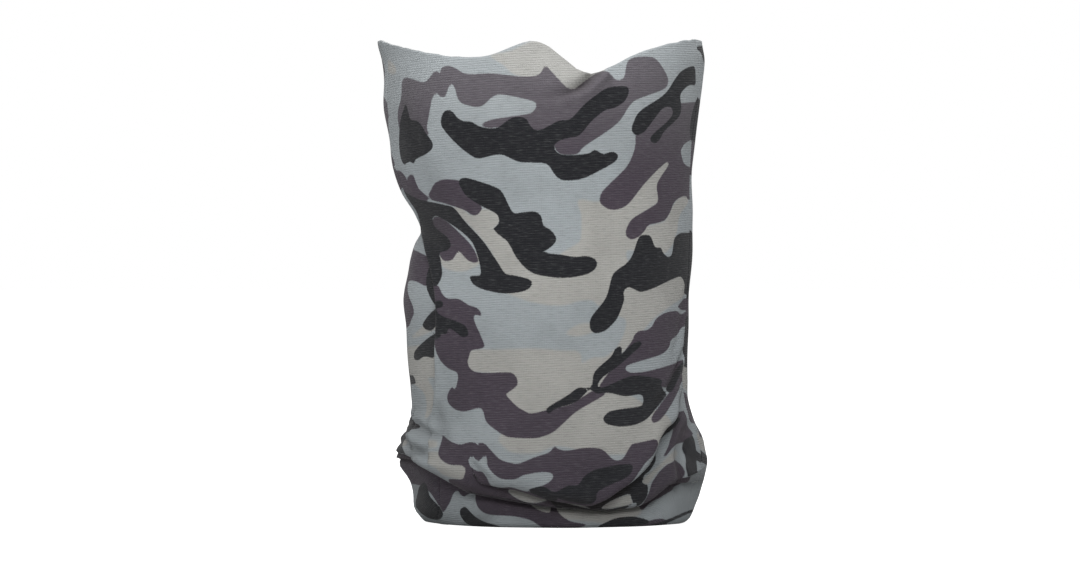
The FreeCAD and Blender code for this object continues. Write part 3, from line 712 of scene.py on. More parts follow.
BLACK_MAIN = [
    [(-65.4, 200.7), (-64, 196.5), (-62.8, 193), (-58.6, 192), (-54.5, 186), (-52, 182.5), (-51.8, 179.3),
     (-54.5, 176.7), (-59.7, 174), (-60.7, 171, C), (-62.3, 172.8), (-65.4, 171.2, C), (-67, 173.6),
     (-68, 179), (-68, 186.6), (-67.5, 193.4)],
    [(-44.8, 197.8), (-42.5, 196.5), (-41, 194.5), (-37.8, 192.4), (-33.6, 192), (-30, 190), (-25.8, 189),
     (-20.6, 189.2), (-17, 191.8), (-13.3, 194), (-9, 194.2), (-6.5, 193), (-5, 190.3), (-2.5, 188),
     (1.5, 188.7), (8.7, 192.5), (14.2, 193.4), (21.4, 200.8), (30.8, 207.5), (36.3, 209), (41.8, 209),
     (43, 207), (42, 203.5), (40, 201), (35.7, 198.6), (31.3, 197.5), (24.7, 192.5), (18.6, 185.6),
     (13.6, 184.3), (9.2, 183), (6.7, 181), (6.7, 178.7), (9.2, 176.5), (14.2, 176), (19.7, 176.3),
     (23.6, 177), (26.3, 178.5), (30.2, 176.5), (33, 177.4), (35.7, 177.4), (37, 176), (36.6, 173.8),
     (33.5, 171.3), (29, 168.8), (22.5, 165.5), (17, 164), (10, 164), (6.5, 167), (3, 171.6), (-3.9, 172.3),
     (-10.6, 172.8), (-18, 176), (-22, 176), (-29.4, 174.4), (-33, 175.4), (-40.4, 181), (-47.4, 189),
     (-48.2, 193), (-47.2, 196.5)],
    [(73.3, 218.8), (74.4, 217.4), (74.7, 213), (74.4, 209.7), (72, 209.7), (69.4, 208), (67.2, 204.7),
     (67.5, 198.6), (66, 194), (59.5, 187.6), (57.3, 183.7), (55, 181.5), (53, 182.6), (53.4, 185.4),
     (61, 192.5), (63.3, 196), (62.8, 198.6), (61, 199.2), (57.8, 197.5), (51.2, 188.7), (48.4, 186.2),
     (45.7, 185.6), (44, 188), (45, 192), (48.4, 197.5), (59.5, 205.2), (65, 213), (68.3, 216.8)],
    [(75.5, 203), (76, 197), (75.5, 186.5), (73.6, 181), (72, 187), (73, 196)],
    [(-39.5, 163), (-37.6, 165), (-33, 164.4), (-22, 160.7), (-18.4, 158), (-14.7, 150.6), (-12.6, 148),
     (-8.4, 148.5), (-2.7, 148.8), (0.4, 146.4), (0.9, 142, C), (4.5, 140.4), (7.3, 137), (7, 134), (4, 131),
     (0.5, 129, C), (10, 128), (16.4, 127), (22, 127.4), (25.8, 126), (27, 123.5), (25, 120.3),
     (20.5, 118.2), (12.7, 117), (5.4, 117.2), (-4.3, 119.5), (-11, 126), (-15.7, 134.4), (-20, 137.5),
     (-22.8, 140.5, C), (-20.4, 142.8), (-20, 145.4), (-22, 148.2), (-28.3, 151.4), (-35.6, 156.3),
     (-38.2, 160)],
    [(-70, 162), (-64, 157.5), (-57.5, 154.5), (-46, 152), (-41.3, 150.3), (-35.6, 143.3), (-27, 134),
     (-20.4, 124.5), (-16.8, 119), (-13, 118.2), (-8.4, 117.2), (-4.8, 116), (-4, 114), (-5.8, 111.5),
     (-10, 110), (-17.3, 109.4), (-25, 110.7), (-30.3, 112.5), (-33.2, 115), (-34, 117.2), (-32.4, 118),
     (-29, 118.2), (-28.8, 122), (-31, 130), (-34, 135.5), (-41.3, 141.7), (-49, 146.3), (-51.7, 146),
     (-52, 143.8), (-50.7, 141), (-45, 137), (-43, 134.4), (-43, 131.8), (-45, 130), (-48, 129),
     (-47.3, 125.5), (-47, 123), (-46.5, 119), (-47.6, 115), (-49.5, 113), (-56, 114), (-64, 126),
     (-74, 138), (-84, 152), (-78, 161)],
    [(46.5, 134), (48, 137), (50.8, 137.6), (53, 136.8), (55, 131.8), (57.6, 131.5), (58.6, 129.2),
     (61.2, 127), (63, 128.2), (63.6, 132.3), (64.3, 136), (66.4, 138), (69.6, 138.6), (80, 138), (88, 128),
     (84, 114), (76, 107), (69.6, 109), (69, 113.6), (68, 116.7), (66, 117.2), (57, 113), (51.8, 111),
     (47.7, 110.2), (43, 112.2), (41, 112), (39.6, 110), (39.8, 106), (37, 98), (34, 94.2), (31, 91.6),
     (27.3, 90.3), (24.7, 91), (23.4, 94), (24.5, 98.5), (31, 107.3), (34, 117.2), (36.2, 120.3),
     (41.4, 124), (44.5, 128.2)],
    [(-54, 104), (-48, 106), (-46, 105), (-46.5, 103), (-49, 101.6), (-46, 98.4), (-37, 94.7), (-34.8, 92),
     (-34.5, 89.2), (-37.4, 88.5), (-39.7, 90.5), (-43, 92.6), (-44.4, 90), (-46.5, 89.8), (-47.6, 88),
     (-54, 87), (-60, 94), (-60, 101)],
    [(38.3, 84), (39, 82.7), (38.8, 80, C), (41.4, 82.7), (44.5, 85.3), (47, 86.4), (48.4, 85.8),
     (47.7, 83.8), (38.3, 75.4), (30, 69.2), (27.8, 66), (28, 64.3), (31, 64.5), (38.8, 68), (44, 69.7),
     (49.7, 69.7), (56, 68.6), (58, 67.6), (57.8, 65), (60, 62.4), (60, 60), (53, 51), (49.2, 47.8),
     (44.5, 46), (38.3, 45.4), (33, 46.2), (30.4, 47.8), (30.4, 50), (33, 52.5), (38.3, 53.8), (47.7, 55.1),
     (49.2, 57.2), (49.2, 59.2), (47.7, 60.8), (40.4, 60), (33, 61.6), (27, 61.3), (24.7, 62.9),
     (22.6, 62.4), (17, 57.2), (7.5, 54), (4, 51.7), (2.6, 53), (4, 55), (12.7, 60.3), (18, 64), (22, 64),
     (24.7, 65.5), (26, 71.8), (33.6, 79), (35.7, 82.7)],
    [(62, 62), (65.4, 68), (68.4, 73.5), (70.2, 80), (71.5, 96), (70, 97), (69.6, 90), (69, 79), (66, 73),
     (61, 64)],
    [(44, 27), (43, 23), (39.3, 20), (27.8, 14.3), (26.3, 10), (22.6, 8), (12.7, 9.6), (5.4, 12.7),
     (9, 14.8), (13.2, 17), (18, 17.4), (21, 21), (25.8, 24.2), (32, 25.8), (38.8, 27)],
    [(-6, 14.5), (-2, 16.3), (2, 16.4), (8, 12), (6, 9), (-1, 12)],
    [(70.5, 41), (73, 38), (79, 31), (86, 27), (86, 23.5), (78, 28), (72.5, 33.5), (70.5, 36)],
    [(-66, 50), (-62.5, 49.5), (-59.5, 48.8), (-55.5, 48.5), (-55, 46), (-59, 45.2), (-61, 43), (-63, 39.5),
     (-63.5, 35), (-66, 31), (-72, 31), (-72, 45)],
]
BEIGE_MAIN = [
    [(17.7, 153), (19.5, 154.7), (25, 153.7), (29, 154), (36, 158), (45, 165), (58, 172), (61.7, 173.5),
     (62, 168), (57, 158), (56, 153), (48, 147), (50, 142), (56, 143), (60, 145), (64.5, 153), (67.5, 156),
     (69.6, 156.5), (71, 154), (69.6, 151), (67.5, 148), (66.2, 143.8), (65.7, 139.6), (64.3, 135.5),
     (62.8, 127.5), (58, 125), (48, 125), (33, 108), (28, 103.5), (24.7, 106), (18, 105.7), (12.7, 104),
     (6, 103.6), (-3, 105), (-9.5, 107), (-20, 112), (-20, 120), (-24, 130), (-34, 142), (-42, 150),
     (-38, 150.5), (-33, 147), (-28, 150), (-20, 148), (-20, 143), (-22, 140), (-8, 135), (5, 125),
     (9.6, 128.7), (16.4, 132.8), (19, 135.5), (19.5, 142.8), (19.2, 148)],
    [(-48, 127), (-46, 122), (-41.8, 120.3), (-36.6, 120), (-33, 121.4), (-29.4, 123.5), (-29, 127),
     (-38, 131)],
    [(-24, 224), (-18, 219.5), (-12, 214.5), (-2, 212), (17, 206), (27, 213), (31, 216), (31, 226), (2, 232),
     (-14, 226)],
    [(-34, 82), (-20, 82.5), (-3, 83), (10, 82), (17, 82, C), (19.5, 80), (19.5, 75.5, C), (25, 78.5),
     (31, 79), (36, 82), (33, 70), (44, 60), (60, 50), (62, 40), (55, 36), (40, 32), (24, 33), (8, 36),
     (-2, 32.5), (-14, 33), (-18, 36), (-20, 40), (-12, 52), (-18, 62), (-16, 70), (-33, 72), (-36, 77)],
    [(12.5, 91), (18, 94.5), (24, 95), (27, 92), (23, 90), (18, 88.8), (13, 89.5)],
    [(32, 118), (38, 104), (37, 99), (41, 96.5), (40, 90), (37, 84), (36, 78), (46, 88), (54, 97), (62, 103),
     (70, 110), (68, 120), (50, 114)],
    [(-76, 222), (-72, 221), (-69.5, 218), (-70, 215), (-73, 215.5), (-76, 219)],
    [(-59, 36), (-54, 39), (-50, 38), (-50, 35.5), (-55, 35), (-59, 33.5)],
    [(-48, 33), (-46, 29), (-42, 27), (-36, 27.5), (-36, 20), (-46, 22), (-50, 26), (-58, 31), (-55, 33)],
]
BEIGE_GAPS = [
    [(42, 130), (58, 128), (66, 136), (62, 120), (46, 120)],
]

# On the ply between the two front folds, where PALE and BLUE shapes leave out the darker layers.
PURPLE_PLY = [
    [(67.5, 52), (73, 52), (74, 40), (70, 36), (66.5, 31.5), (64.8, 31), (67, 36), (67.6, 43)],
    [(71, 29.4), (65, 25.8), (59.7, 21), (56, 15.8), (51.8, 8.5), (51.8, 6), (57, 8), (65, 12.7), (71, 17.4),
     (73, 23)],
    [(-4, 8), (4, 11), (10, 12), (16, 10), (22, 8), (22, 4), (0, 5)],
]
PALE_PLY = [
    [(-17, 14.4), (-14, 16), (-6.5, 13.7), (1, 11.6), (3.3, 10.4), (0, 8.8), (-6.5, 8.3), (-11.6, 10),
     (-15.6, 12.4)],
    [(10, 10), (16, 9), (22, 7), (25, 5.6), (18, 7), (12, 8.5)],
    [(71, 34), (62, 26.3), (52.4, 19.5), (55, 17.4), (59.7, 22), (65, 26.3), (71, 29.4)],
    [(31, 6.3), (36, 9.6), (44.5, 12.7), (46, 10.6), (45.6, 8), (39, 6.2), (33, 5.2)],
]
BLACK_PLY = [
    [(73, 40), (78, 44), (82, 36), (82, 20), (75, 17), (73.3, 24), (73.6, 30), (72.6, 35)],
    [(68, 49.7), (68.5, 47.7), (67, 43.5), (62.3, 38.8), (60.2, 34.6), (60.4, 28.9), (57, 24.2), (53, 21),
     (55, 17.4), (54.7, 14.8), (52.4, 10), (49.2, 6.5), (44, 3), (24, 3), (10, 5), (4, 11), (10, 14),
     (30, 15), (44, 26), (53, 36), (60.2, 50)],
    [(-3, 14), (4, 15), (10, 12), (6, 10.5), (0, 11.5)],
]
BLUE_PLY = [
    [(67, 43), (62.3, 38.5), (60.8, 33), (61.5, 30.5), (65, 34), (67, 38)],
    [(42, 4), (47, 8.5), (48.5, 7), (44, 3.5)],
]

# On the band below the lower fold.
PURPLE_BAND = [
    [(-60, 32), (-40, 28), (-20, 20), (-13, 14), (-6.5, 7.6), (-3.9, 6), (-0.2, 4.4), (3.8, 3.8), (4.6, 6),
     (4.8, 14), (7.8, 13), (8, 5), (14, 0), (22, -2), (10, -5), (2, -4), (-5, 0), (-14, 2), (-26, 3),
     (-31, 6), (-33, 10), (-33.4, 13.4), (-36.4, 13), (-39, 11.6), (-41, 12.6), (-42.5, 14.4), (-44.5, 13),
     (-46, 8.8), (-48.5, 4.3), (-50, 6), (-54, 13), (-57, 17)],
    [(71, 29.4), (65, 25.8), (59.7, 21), (56, 15.8), (51.8, 8.5), (51.8, 5), (57, 8.5), (65, 12.7),
     (71, 17.4), (73, 23)],
    [(-72, 32), (-58, 32), (-56, 18), (-60, 17), (-66, 20)],
    [(50, -1), (60, 1), (62, -3), (50, -6)],
]
BLACK_BAND = [
    [(-39.4, 6.3), (-40.4, 4.8), (-39.4, 1.8), (-34, -3), (-22, -6), (-20, -3), (-27, -0.6), (-32, 1.8),
     (-35.4, 4.8), (-37.5, 6.6)],
    [(-58, 18.5), (-60.5, 16), (-61, 7.8), (-56, 2), (-50.6, 0.5), (-48.5, 2.8), (-50.6, 6.8), (-54.6, 12),
     (-56, 16.4)],
    [(28, -3), (34, 0), (40.4, 1.6), (47.7, 1.8), (53, -0.5), (46, -3), (34, -5)],
    [(53, -3), (65, 1.8), (74, 5.5), (74, 4.2), (65, 0.3), (54, -5)],
]
BEIGE_BAND = [
    [(7, 12), (7.2, 4), (8, 2), (12.7, 0.7), (23, -0.3), (35, -1.4), (40.4, 0.7), (49, 2.5), (52, 8),
     (40, 11), (20, 14)],
    [(-14, 17), (6, 15), (6.5, 4), (3, 2.6), (-2, 3.6), (-9, 7)],
]

# The back panel where it shows from the front: beyond the jaw crease, then at both sides.
PURPLE_LEFT = [
    [(-68, 133), (-57.5, 128.2), (-52, 124), (-50, 118), (-55.4, 113), (-60, 115), (-62.7, 115.6),
     (-64, 113.6), (-63.7, 109), (-61.6, 103.6), (-61, 100), (-62, 97), (-64.2, 93), (-70, 95), (-73, 115)],
]
BLACK_LEFT = [
    [(-53.3, 124.5), (-55.4, 121), (-56.2, 116.7), (-56, 112.5), (-54.3, 107.8), (-51.2, 103.6), (-45, 105),
     (-46, 124)],
    [(-44, 106), (-50, 103), (-54, 100), (-57.5, 94.5), (-56, 92), (-53, 92), (-49, 97), (-43, 100)],
    [(-44, 94), (-49.4, 91), (-53.8, 89), (-58, 85.3), (-60.6, 81.7), (-61, 78.5), (-59.3, 77.2),
     (-56.4, 79), (-52.2, 78.5), (-51.5, 82.2), (-49, 85), (-43, 85)],
    [(-70, 71), (-62.4, 70.2), (-60.6, 69.7), (-59.3, 66.5), (-62.2, 65.5), (-69, 66)],
]
PURPLE_SIDES = [
    [(-92, 200), (-84, 205), (-77, 206), (-73.5, 200), (-73, 190), (-72, 178), (-70.5, 171), (-75, 168),
     (-84, 172), (-94, 182)],
    [(-95, 158), (-84, 160), (-75, 167), (-70, 169), (-66, 163), (-70, 156), (-80, 150), (-92, 148)],
    [(68, 110), (76, 106), (86, 98), (92, 88), (84, 84), (76, 90), (68, 98)],
    [(70, 168), (78, 166), (88, 172), (94, 184), (86, 190), (78, 184), (70, 182)],
    [(68, 50), (74, 46), (77, 40), (88, 44), (92, 54), (82, 58), (74, 56), (68, 62)],
    [(-92, 40), (-80, 48), (-70, 46), (-64, 41), (-70, 36), (-80, 30), (-92, 30)],
]
BLACK_SIDES = [
    [(-79, 224), (-77.5, 219), (-76.8, 206), (-76, 203), (-78.5, 205), (-84, 212), (-88, 222)],
    [(-80, 200), (-75.5, 197), (-74.5, 188), (-73.6, 176), (-77, 180), (-84, 186), (-86, 196)],
    [(72, 206), (76.5, 203), (82, 198), (82, 186), (76, 181), (72, 187)],
    [(68, 139), (74, 138), (82, 130), (86, 118), (78, 112), (68, 108)],
    [(69, 98), (72.4, 96), (75, 88), (74, 78), (69, 74), (69, 84)],
    [(69, 46), (73, 38), (79, 31), (86, 27), (86, 22), (78, 27), (71, 34), (67, 40)],
    [(-74, 52), (-66, 50), (-60, 48), (-57, 45), (-62, 43), (-66, 38), (-64, 31), (-70, 28), (-75, 33),
     (-70, 40), (-74, 44)],
    [(74.5, 228), (77, 225), (79, 219), (82, 220), (82, 228)],
]
BEIGE_SIDES = [
    [(-80, 150), (-72, 148), (-66, 141), (-70, 136), (-82, 138)],
    [(68, 75), (74, 72), (84, 66), (84, 58), (76, 62), (68, 64)],
    [(74, 42), (80, 42), (84, 36), (80, 32), (75, 36)],
    [(-74, 44), (-68, 42), (-64, 38), (-67, 35), (-74, 38)],
    [(-76, 32), (-70, 31), (-66, 27), (-68, 24), (-76, 26)],
]
BEIGE_LEFT = [
    [(-70, 82), (-62, 84), (-50, 85), (-44, 80), (-45, 70), (-54.3, 68.6), (-52.8, 65), (-51, 58.7),
     (-52.2, 50.4), (-53.8, 50.4), (-55, 58.7), (-56.4, 62.4), (-59.5, 65.5), (-63, 70), (-70, 72)],
    [(-46, 100), (-52, 98), (-58, 93), (-62, 88), (-56, 90), (-46, 96)],
]
EDGE = 5.0               # distances to an outline are only needed this far from it
FOLDED = 0.12            # strength from which the upper fold hides cloth


def flat_outline(points, outer):
    """A closed outline seen from the front, laid out flat on the cloth."""
    angles, heights = unroll(rounded(points), outer)
    return np.stack([angles * AROUND, heights], axis=-1)


def inside_distance(u, z, outline):
    """Distance to a closed outline, positive inside, limited to EDGE."""
    result = np.full(u.shape, -EDGE)
    lower_corner, upper_corner = outline.min(0) - EDGE, outline.max(0) + EDGE
    near = ((u > lower_corner[0]) & (u < upper_corner[0]) & (z > lower_corner[1]) & (z < upper_corner[1]))
    px, pz = u[near], z[near]
    if not len(px):
        return result
    best = np.full(px.shape, EDGE ** 2)
    within = np.zeros(px.shape, bool)
    for a, b in zip(outline, np.roll(outline, -1, axis=0)):
        d = b - a
        f = np.clip(((px - a[0]) * d[0] + (pz - a[1]) * d[1]) / max(d @ d, 1e-9), 0, 1)
        best = np.minimum(best, (px - a[0] - f * d[0]) ** 2 + (pz - a[1] - f * d[1]) ** 2)
        crosses = (a[1] > pz) != (b[1] > pz)
        if crosses.any():
            at = a[0] + (pz - a[1]) * d[0] / (d[1] if d[1] else 1e-9)
            within ^= crosses & (px < at)
    result[near] = np.where(within, 1, -1) * np.sqrt(best)
    return result


def painted(u, z, shapes, gaps=(), outer=1.0):
    """Distance inside any of the shapes and outside all the gaps."""
    total = np.full(u.shape, -EDGE)
    for shape in shapes:
        total = np.maximum(total, inside_distance(u, z, flat_outline(shape, outer)))
    for gap in gaps:
        total = np.minimum(total, -inside_distance(u, z, flat_outline(gap, outer)))
    return total


def painted_fold_shade(t, z, zones):
    """Painted shade where the folds would shadow the cloth: along the creases, close under the lips and
    beside the rolled jaw edge, 0 to 1.
    """
    upper, strength = upper_lip(t)
    lower = lower_lip(t)
    shade = np.zeros(t.shape)
    for zone_here, line, width, amount in (
            (zones == PLY, upper, 5.0, strength),
            (zones == BAND, lower + 1.0, 4.5, 0.9),
            (zones != BAND, lower, 3.0, 0.55),
            (zones == MAIN, upper, 2.5, 0.55 * strength)):
        shade = np.maximum(shade, np.where(zone_here, amount * bump(z, line, width), 0.0))
    for crease in CREASES:
        shade = np.maximum(shade, crease.mark(from_front(t), z))
    if t.min() > 0:
        beside_roll = (jaw_edge(z) + 2 * math.pi - t) * AROUND
        shade = np.maximum(shade, roll(z) * bump(np.maximum(beside_roll, 0), 0, 4.0))
    return np.clip(shade, 0, 1)


def front_print(t, z, zones):
    """The three printed layers on the front panel: beige, purple and black."""
    u = t * AROUND
    beige = painted(u, z, BEIGE_MAIN, BEIGE_GAPS)
    purple = painted(u, z, PURPLE_MAIN, PURPLE_GAPS)
    black = painted(u, z, BLACK_MAIN)
    pale = painted(u, z, PALE_PLY)
    open_cloth = -np.maximum(pale, painted(u, z, BLUE_PLY))
    on_ply = (zones == PLY) & (upper_lip(t)[1] > FOLDED)
    ply = (np.maximum(beige, pale),
           np.minimum(np.maximum(purple, painted(u, z, PURPLE_PLY)), open_cloth),
           np.minimum(painted(u, z, BLACK_PLY), open_cloth))
    band = [painted(u, z, shapes, outer=0.0) for shapes in (BEIGE_BAND, PURPLE_BAND, BLACK_BAND)]
    layers = []
    for main_layer, ply_layer, band_layer in zip((beige, purple, black), ply, band):
        upper_part = np.where(on_ply, ply_layer, main_layer)
        layers.append(np.where(zones == BAND, band_layer, upper_part))
    return layers


BACK_DROP = 62.0         # the back panel is cut from the same cloth, this much further along the print
BACK_LEFT_FROM = 1.5 * math.pi - 0.6    # angle from which the back panel is seen beside the left seam


def back_print(t, z, zones):
    """The same print moved along and turned to the back, with its own shapes where it shows in front."""
    behind = (t - math.pi) * AROUND
    beside = np.where(t > BACK_LEFT_FROM, t - 2 * math.pi, t) * AROUND
    sets = ((BEIGE_MAIN[:-4], BEIGE_GAPS, BEIGE_LEFT + BEIGE_SIDES, BEIGE_BAND),
            (PURPLE_MAIN[:8], PURPLE_GAPS, PURPLE_LEFT + PURPLE_SIDES, PURPLE_BAND),
            (BLACK_MAIN[:9], (), BLACK_LEFT + BLACK_SIDES, BLACK_BAND))
    layers = []
    for shapes, gaps, side_shapes, band_shapes in sets:
        on_band, on_sides = (painted(beside, z, own, outer=0.0) for own in (band_shapes, side_shapes))
        total = np.where(zones == BAND, on_band, on_sides)
        for drop in (BACK_DROP, BACK_DROP - PRINT_DROP):
            total = np.maximum(total, painted(behind, z + drop, shapes, gaps))
        layers.append(total)
    return layers


# ---------------------------------------------------------------- meshes

THIN_CLOTH = 0.1         # where a tight corner leaves no room for the full thickness
TWISTED = 0.6            # cosine between a cell's direction and its neighbours' that counts as twisted
SQUEEZED = 0.15          # share of a cell's size that its inner face has to keep
OUTER_SHARE = 0.80       # share of the texture's width given to the printed side
MAP_MARGIN = 0.005
THREAD = 0.13
THREAD_ASIDE = (0.31, 0.21, 0.93)       # a direction that no thread runs in


def steady_normals(grid, thick):
    """Outward directions over a grid, mended from their neighbours where small cells are twisted."""
    normal = np.cross(np.gradient(grid, axis=0), np.gradient(grid, axis=1))
    normal /= np.linalg.norm(normal, axis=-1, keepdims=True) + 1e-9
    rows, columns = thick.shape
    mended = np.zeros(thick.shape, bool)
    for _ in range(3):
        wide = np.pad(normal, ((2, 2), (2, 2), (0, 0)), mode="edge")
        around = sum(wide[i:i + rows, j:j + columns] for i in range(5) for j in range(5)) - normal
        around /= np.linalg.norm(around, axis=-1, keepdims=True) + 1e-9
        twisted = (normal * around).sum(-1) < TWISTED
        normal[twisted] = around[twisted]
        mended |= twisted
    return normal, np.where(mended, np.minimum(thick, THIN_CLOTH), thick), mended


def clear_of_itself(grid, normal, thick):
    """Thinner cloth where a sharp fold would push its inner face out through the outer one."""
    thick = thick.copy()
    for _ in range(5):
        inner = grid - normal * thick[..., None]
        crossed = np.zeros(thick.shape, bool)
        for axis in (0, 1):
            outer_edge, inner_edge = np.diff(grid, axis=axis), np.diff(inner, axis=axis)
            bad = (outer_edge * inner_edge).sum(-1) < SQUEEZED * (outer_edge ** 2).sum(-1)
            after = np.insert(bad, 0, False, axis=axis)
            before = np.insert(bad, bad.shape[axis], False, axis=axis)
            crossed |= after | before
        thick[crossed] *= 0.5
    return thick


def link(name, data):
    """A new object in the scene's collection."""
    obj = bpy.data.objects.new(name, data)
    bpy.context.scene.collection.objects.link(obj)
    return obj


def smooth_mesh(name, points, faces, materials):
    """Smooth-shaded mesh of points in millimetres."""
    mesh = bpy.data.meshes.new(name)
    mesh.from_pydata((points * MM).tolist(), [], faces)
    for material in materials:
        mesh.materials.append(material)
    mesh.polygons.foreach_set("use_smooth", np.ones(len(faces), bool))
    return mesh


def sheet_faces(rows, columns):
    """Faces of a closed double sheet: its printed side, its reverse side and its cut edge."""
    index = np.arange(rows * columns).reshape(rows, columns)
    corners = (index[:-1, :-1], index[1:, :-1], index[1:, 1:], index[:-1, 1:])
    printed = np.stack(corners, axis=-1).reshape(-1, 4)
    border = np.concatenate([index[0, :], index[1:, -1], index[-1, -2::-1], index[-2:0:-1, 0]])
    following = np.roll(border, -1)
    cut_edge = np.stack([border, following, following + index.size, border + index.size], axis=-1)
    return printed, printed[:, ::-1] + index.size, cut_edge


def add_values(mesh, name, kind, field, values):
    """Values given for the printed side, set on both sides of the cloth."""
    attribute = mesh.attributes.new(name, kind, "POINT")
    attribute.data.foreach_set(field, np.tile(values.ravel(), 2).astype(np.float32))


def closed_cloth(name, grid, cloth, layers, materials, thick):
    """Object made of a grid of points with the cloth's thickness, printed side out."""
    rows, columns = grid.shape[:2]
    normal, thick, mended = steady_normals(grid, thick)
    inner = grid - normal * clear_of_itself(grid, normal, thick)[..., None]
    points = np.concatenate([grid.reshape(-1, 3), inner.reshape(-1, 3)])
    printed, reverse, cut_edge = sheet_faces(rows, columns)
    faces = np.concatenate([printed, reverse, cut_edge])
    mesh = smooth_mesh(name, points, faces.tolist(), materials)
    reverse_side = ~mended.ravel()[printed].any(axis=-1)
    top_edge = np.arange(len(cut_edge)) < columns
    kinds = np.concatenate([np.zeros(len(printed)), reverse_side, top_edge]).astype(np.int32)
    mesh.polygons.foreach_set("material_index", kinds)
    for layer_name, values in layers.items():
        add_values(mesh, layer_name, "FLOAT", "value", values)
    flat = np.concatenate([cloth, np.zeros((rows, columns, 1))], axis=-1)
    add_values(mesh, "cloth", "FLOAT_VECTOR", "vector", flat)
    add_texture_map(mesh, rows, columns, np.arange(len(faces)) >= len(printed))
    return link(name, mesh)


def add_texture_map(mesh, rows, columns, behind):
    """Flat map for baking: the printed side takes most of it, the reverse a strip beside it."""
    corners = np.zeros(len(mesh.loops), np.int32)
    mesh.loops.foreach_get("vertex_index", corners)
    cell = corners % (rows * columns)
    across = (cell % columns) / (columns - 1)
    down = 1 - (cell // columns) / (rows - 1)
    per_face = np.zeros(len(mesh.polygons), np.int32)
    mesh.polygons.foreach_get("loop_total", per_face)
    reverse_start = OUTER_SHARE + 4 * MAP_MARGIN
    reverse_across = reverse_start + across * (1 - 2 * MAP_MARGIN - reverse_start)
    across = np.where(np.repeat(behind, per_face), reverse_across, MAP_MARGIN + across * OUTER_SHARE)
    places = np.stack([across, MAP_MARGIN + (1 - 2 * MAP_MARGIN) * down], axis=-1)
    layer = mesh.uv_layers.new(name="OFBake")
    layer.data.foreach_set("uv", places.ravel().astype(np.float32))


def thread_object(name, line, material, sides=6):
    """A closed round thread along a line of points."""
    line = np.array(line)
    tangent = np.gradient(line, axis=0)
    tangent /= np.linalg.norm(tangent, axis=-1, keepdims=True) + 1e-9
    first = np.cross(tangent, THREAD_ASIDE)
    first /= np.linalg.norm(first, axis=-1, keepdims=True) + 1e-9
    second = np.cross(tangent, first)
    angles = np.linspace(0, 2 * math.pi, sides, endpoint=False)
    rings = [line + THREAD * (np.cos(angle) * first + np.sin(angle) * second) for angle in angles]
    faces = []
    for i in range(len(line) - 1):
        for j in range(sides):
            k = (j + 1) % sides
            faces.append((i * sides + j, i * sides + k, (i + 1) * sides + k, (i + 1) * sides + j))
    faces.append(tuple(reversed(range(sides))))
    faces.append(tuple(range((len(line) - 1) * sides, len(line) * sides)))
    return link(name, smooth_mesh(name, np.stack(rings, axis=1).reshape(-1, 3), faces, [material]))


# ---------------------------------------------------------------- materials

def colour(red, green, blue):
    """sRGB values above 10, up to 255, as a linear colour."""
    return tuple(((v / 255 + 0.055) / 1.055) ** 2.4 for v in (red, green, blue)) + (1,)


class Shader:
    """Short ways to add and join shader nodes."""

    def __init__(self, name):
        self.material = bpy.data.materials.new(name)
        self.material.use_nodes = True
        self.tree = self.material.node_tree
        self.surface = self.tree.nodes["Principled BSDF"]

    def put(self, socket, value):
        if isinstance(value, bpy.types.NodeSocket):
            self.tree.links.new(value, socket)
        else:
            socket.default_value = value

    def set(self, name, value):
        self.put(self.surface.inputs[name], value)

    def math(self, kind, a, b=0.0):
        node = self.tree.nodes.new("ShaderNodeMath")
        node.operation = kind
        self.put(node.inputs[0], a)
        self.put(node.inputs[1], b)
        return node.outputs[0]

    def times(self, a, b):
        return self.math("MULTIPLY", a, b)

    def plus(self, a, b):
        return self.math("ADD", a, b)

    def attribute(self, name, output="Fac"):
        node = self.tree.nodes.new("ShaderNodeAttribute")
        node.attribute_name = name
        return node.outputs[output]

    def noise(self, vector, scale, detail=3.0):
        node = self.tree.nodes.new("ShaderNodeTexNoise")
        self.put(node.inputs["Vector"], vector)
        node.inputs["Scale"].default_value = scale
        node.inputs["Detail"].default_value = detail
        return node.outputs["Fac"]

    def stretch(self, vector, x, y):
        node = self.tree.nodes.new("ShaderNodeMapping")
        self.put(node.inputs["Vector"], vector)
        node.inputs["Scale"].default_value = (x, y, 1)
        return node.outputs["Vector"]

    def mix(self, factor, a, b):
        node = self.tree.nodes.new("ShaderNodeMix")
        node.data_type = "RGBA"
        self.put(node.inputs[0], factor)
        self.put(node.inputs[6], a)
        self.put(node.inputs[7], b)
        return node.outputs[2]

    def ramp(self, value, start, end):
        node = self.tree.nodes.new("ShaderNodeMapRange")
        node.interpolation_type = "SMOOTHSTEP"
        self.put(node.inputs["Value"], value)
        node.inputs["From Min"].default_value = start
        node.inputs["From Max"].default_value = end
        return node.outputs["Result"]

    def ramps(self, *parts):
        """Sum of ramps, each given as value, start, end and amount."""
        total = 0.0
        for value, start, end, amount in parts:
            total = self.plus(self.times(self.ramp(value, start, end), amount), total)
        return total

    def bump(self, height, distance):
        node = self.tree.nodes.new("ShaderNodeBump")
        self.put(node.inputs["Height"], height)
        node.inputs["Distance"].default_value = distance
        node.inputs["Strength"].default_value = 1.0
        self.tree.links.new(node.outputs["Normal"], self.surface.inputs["Normal"])


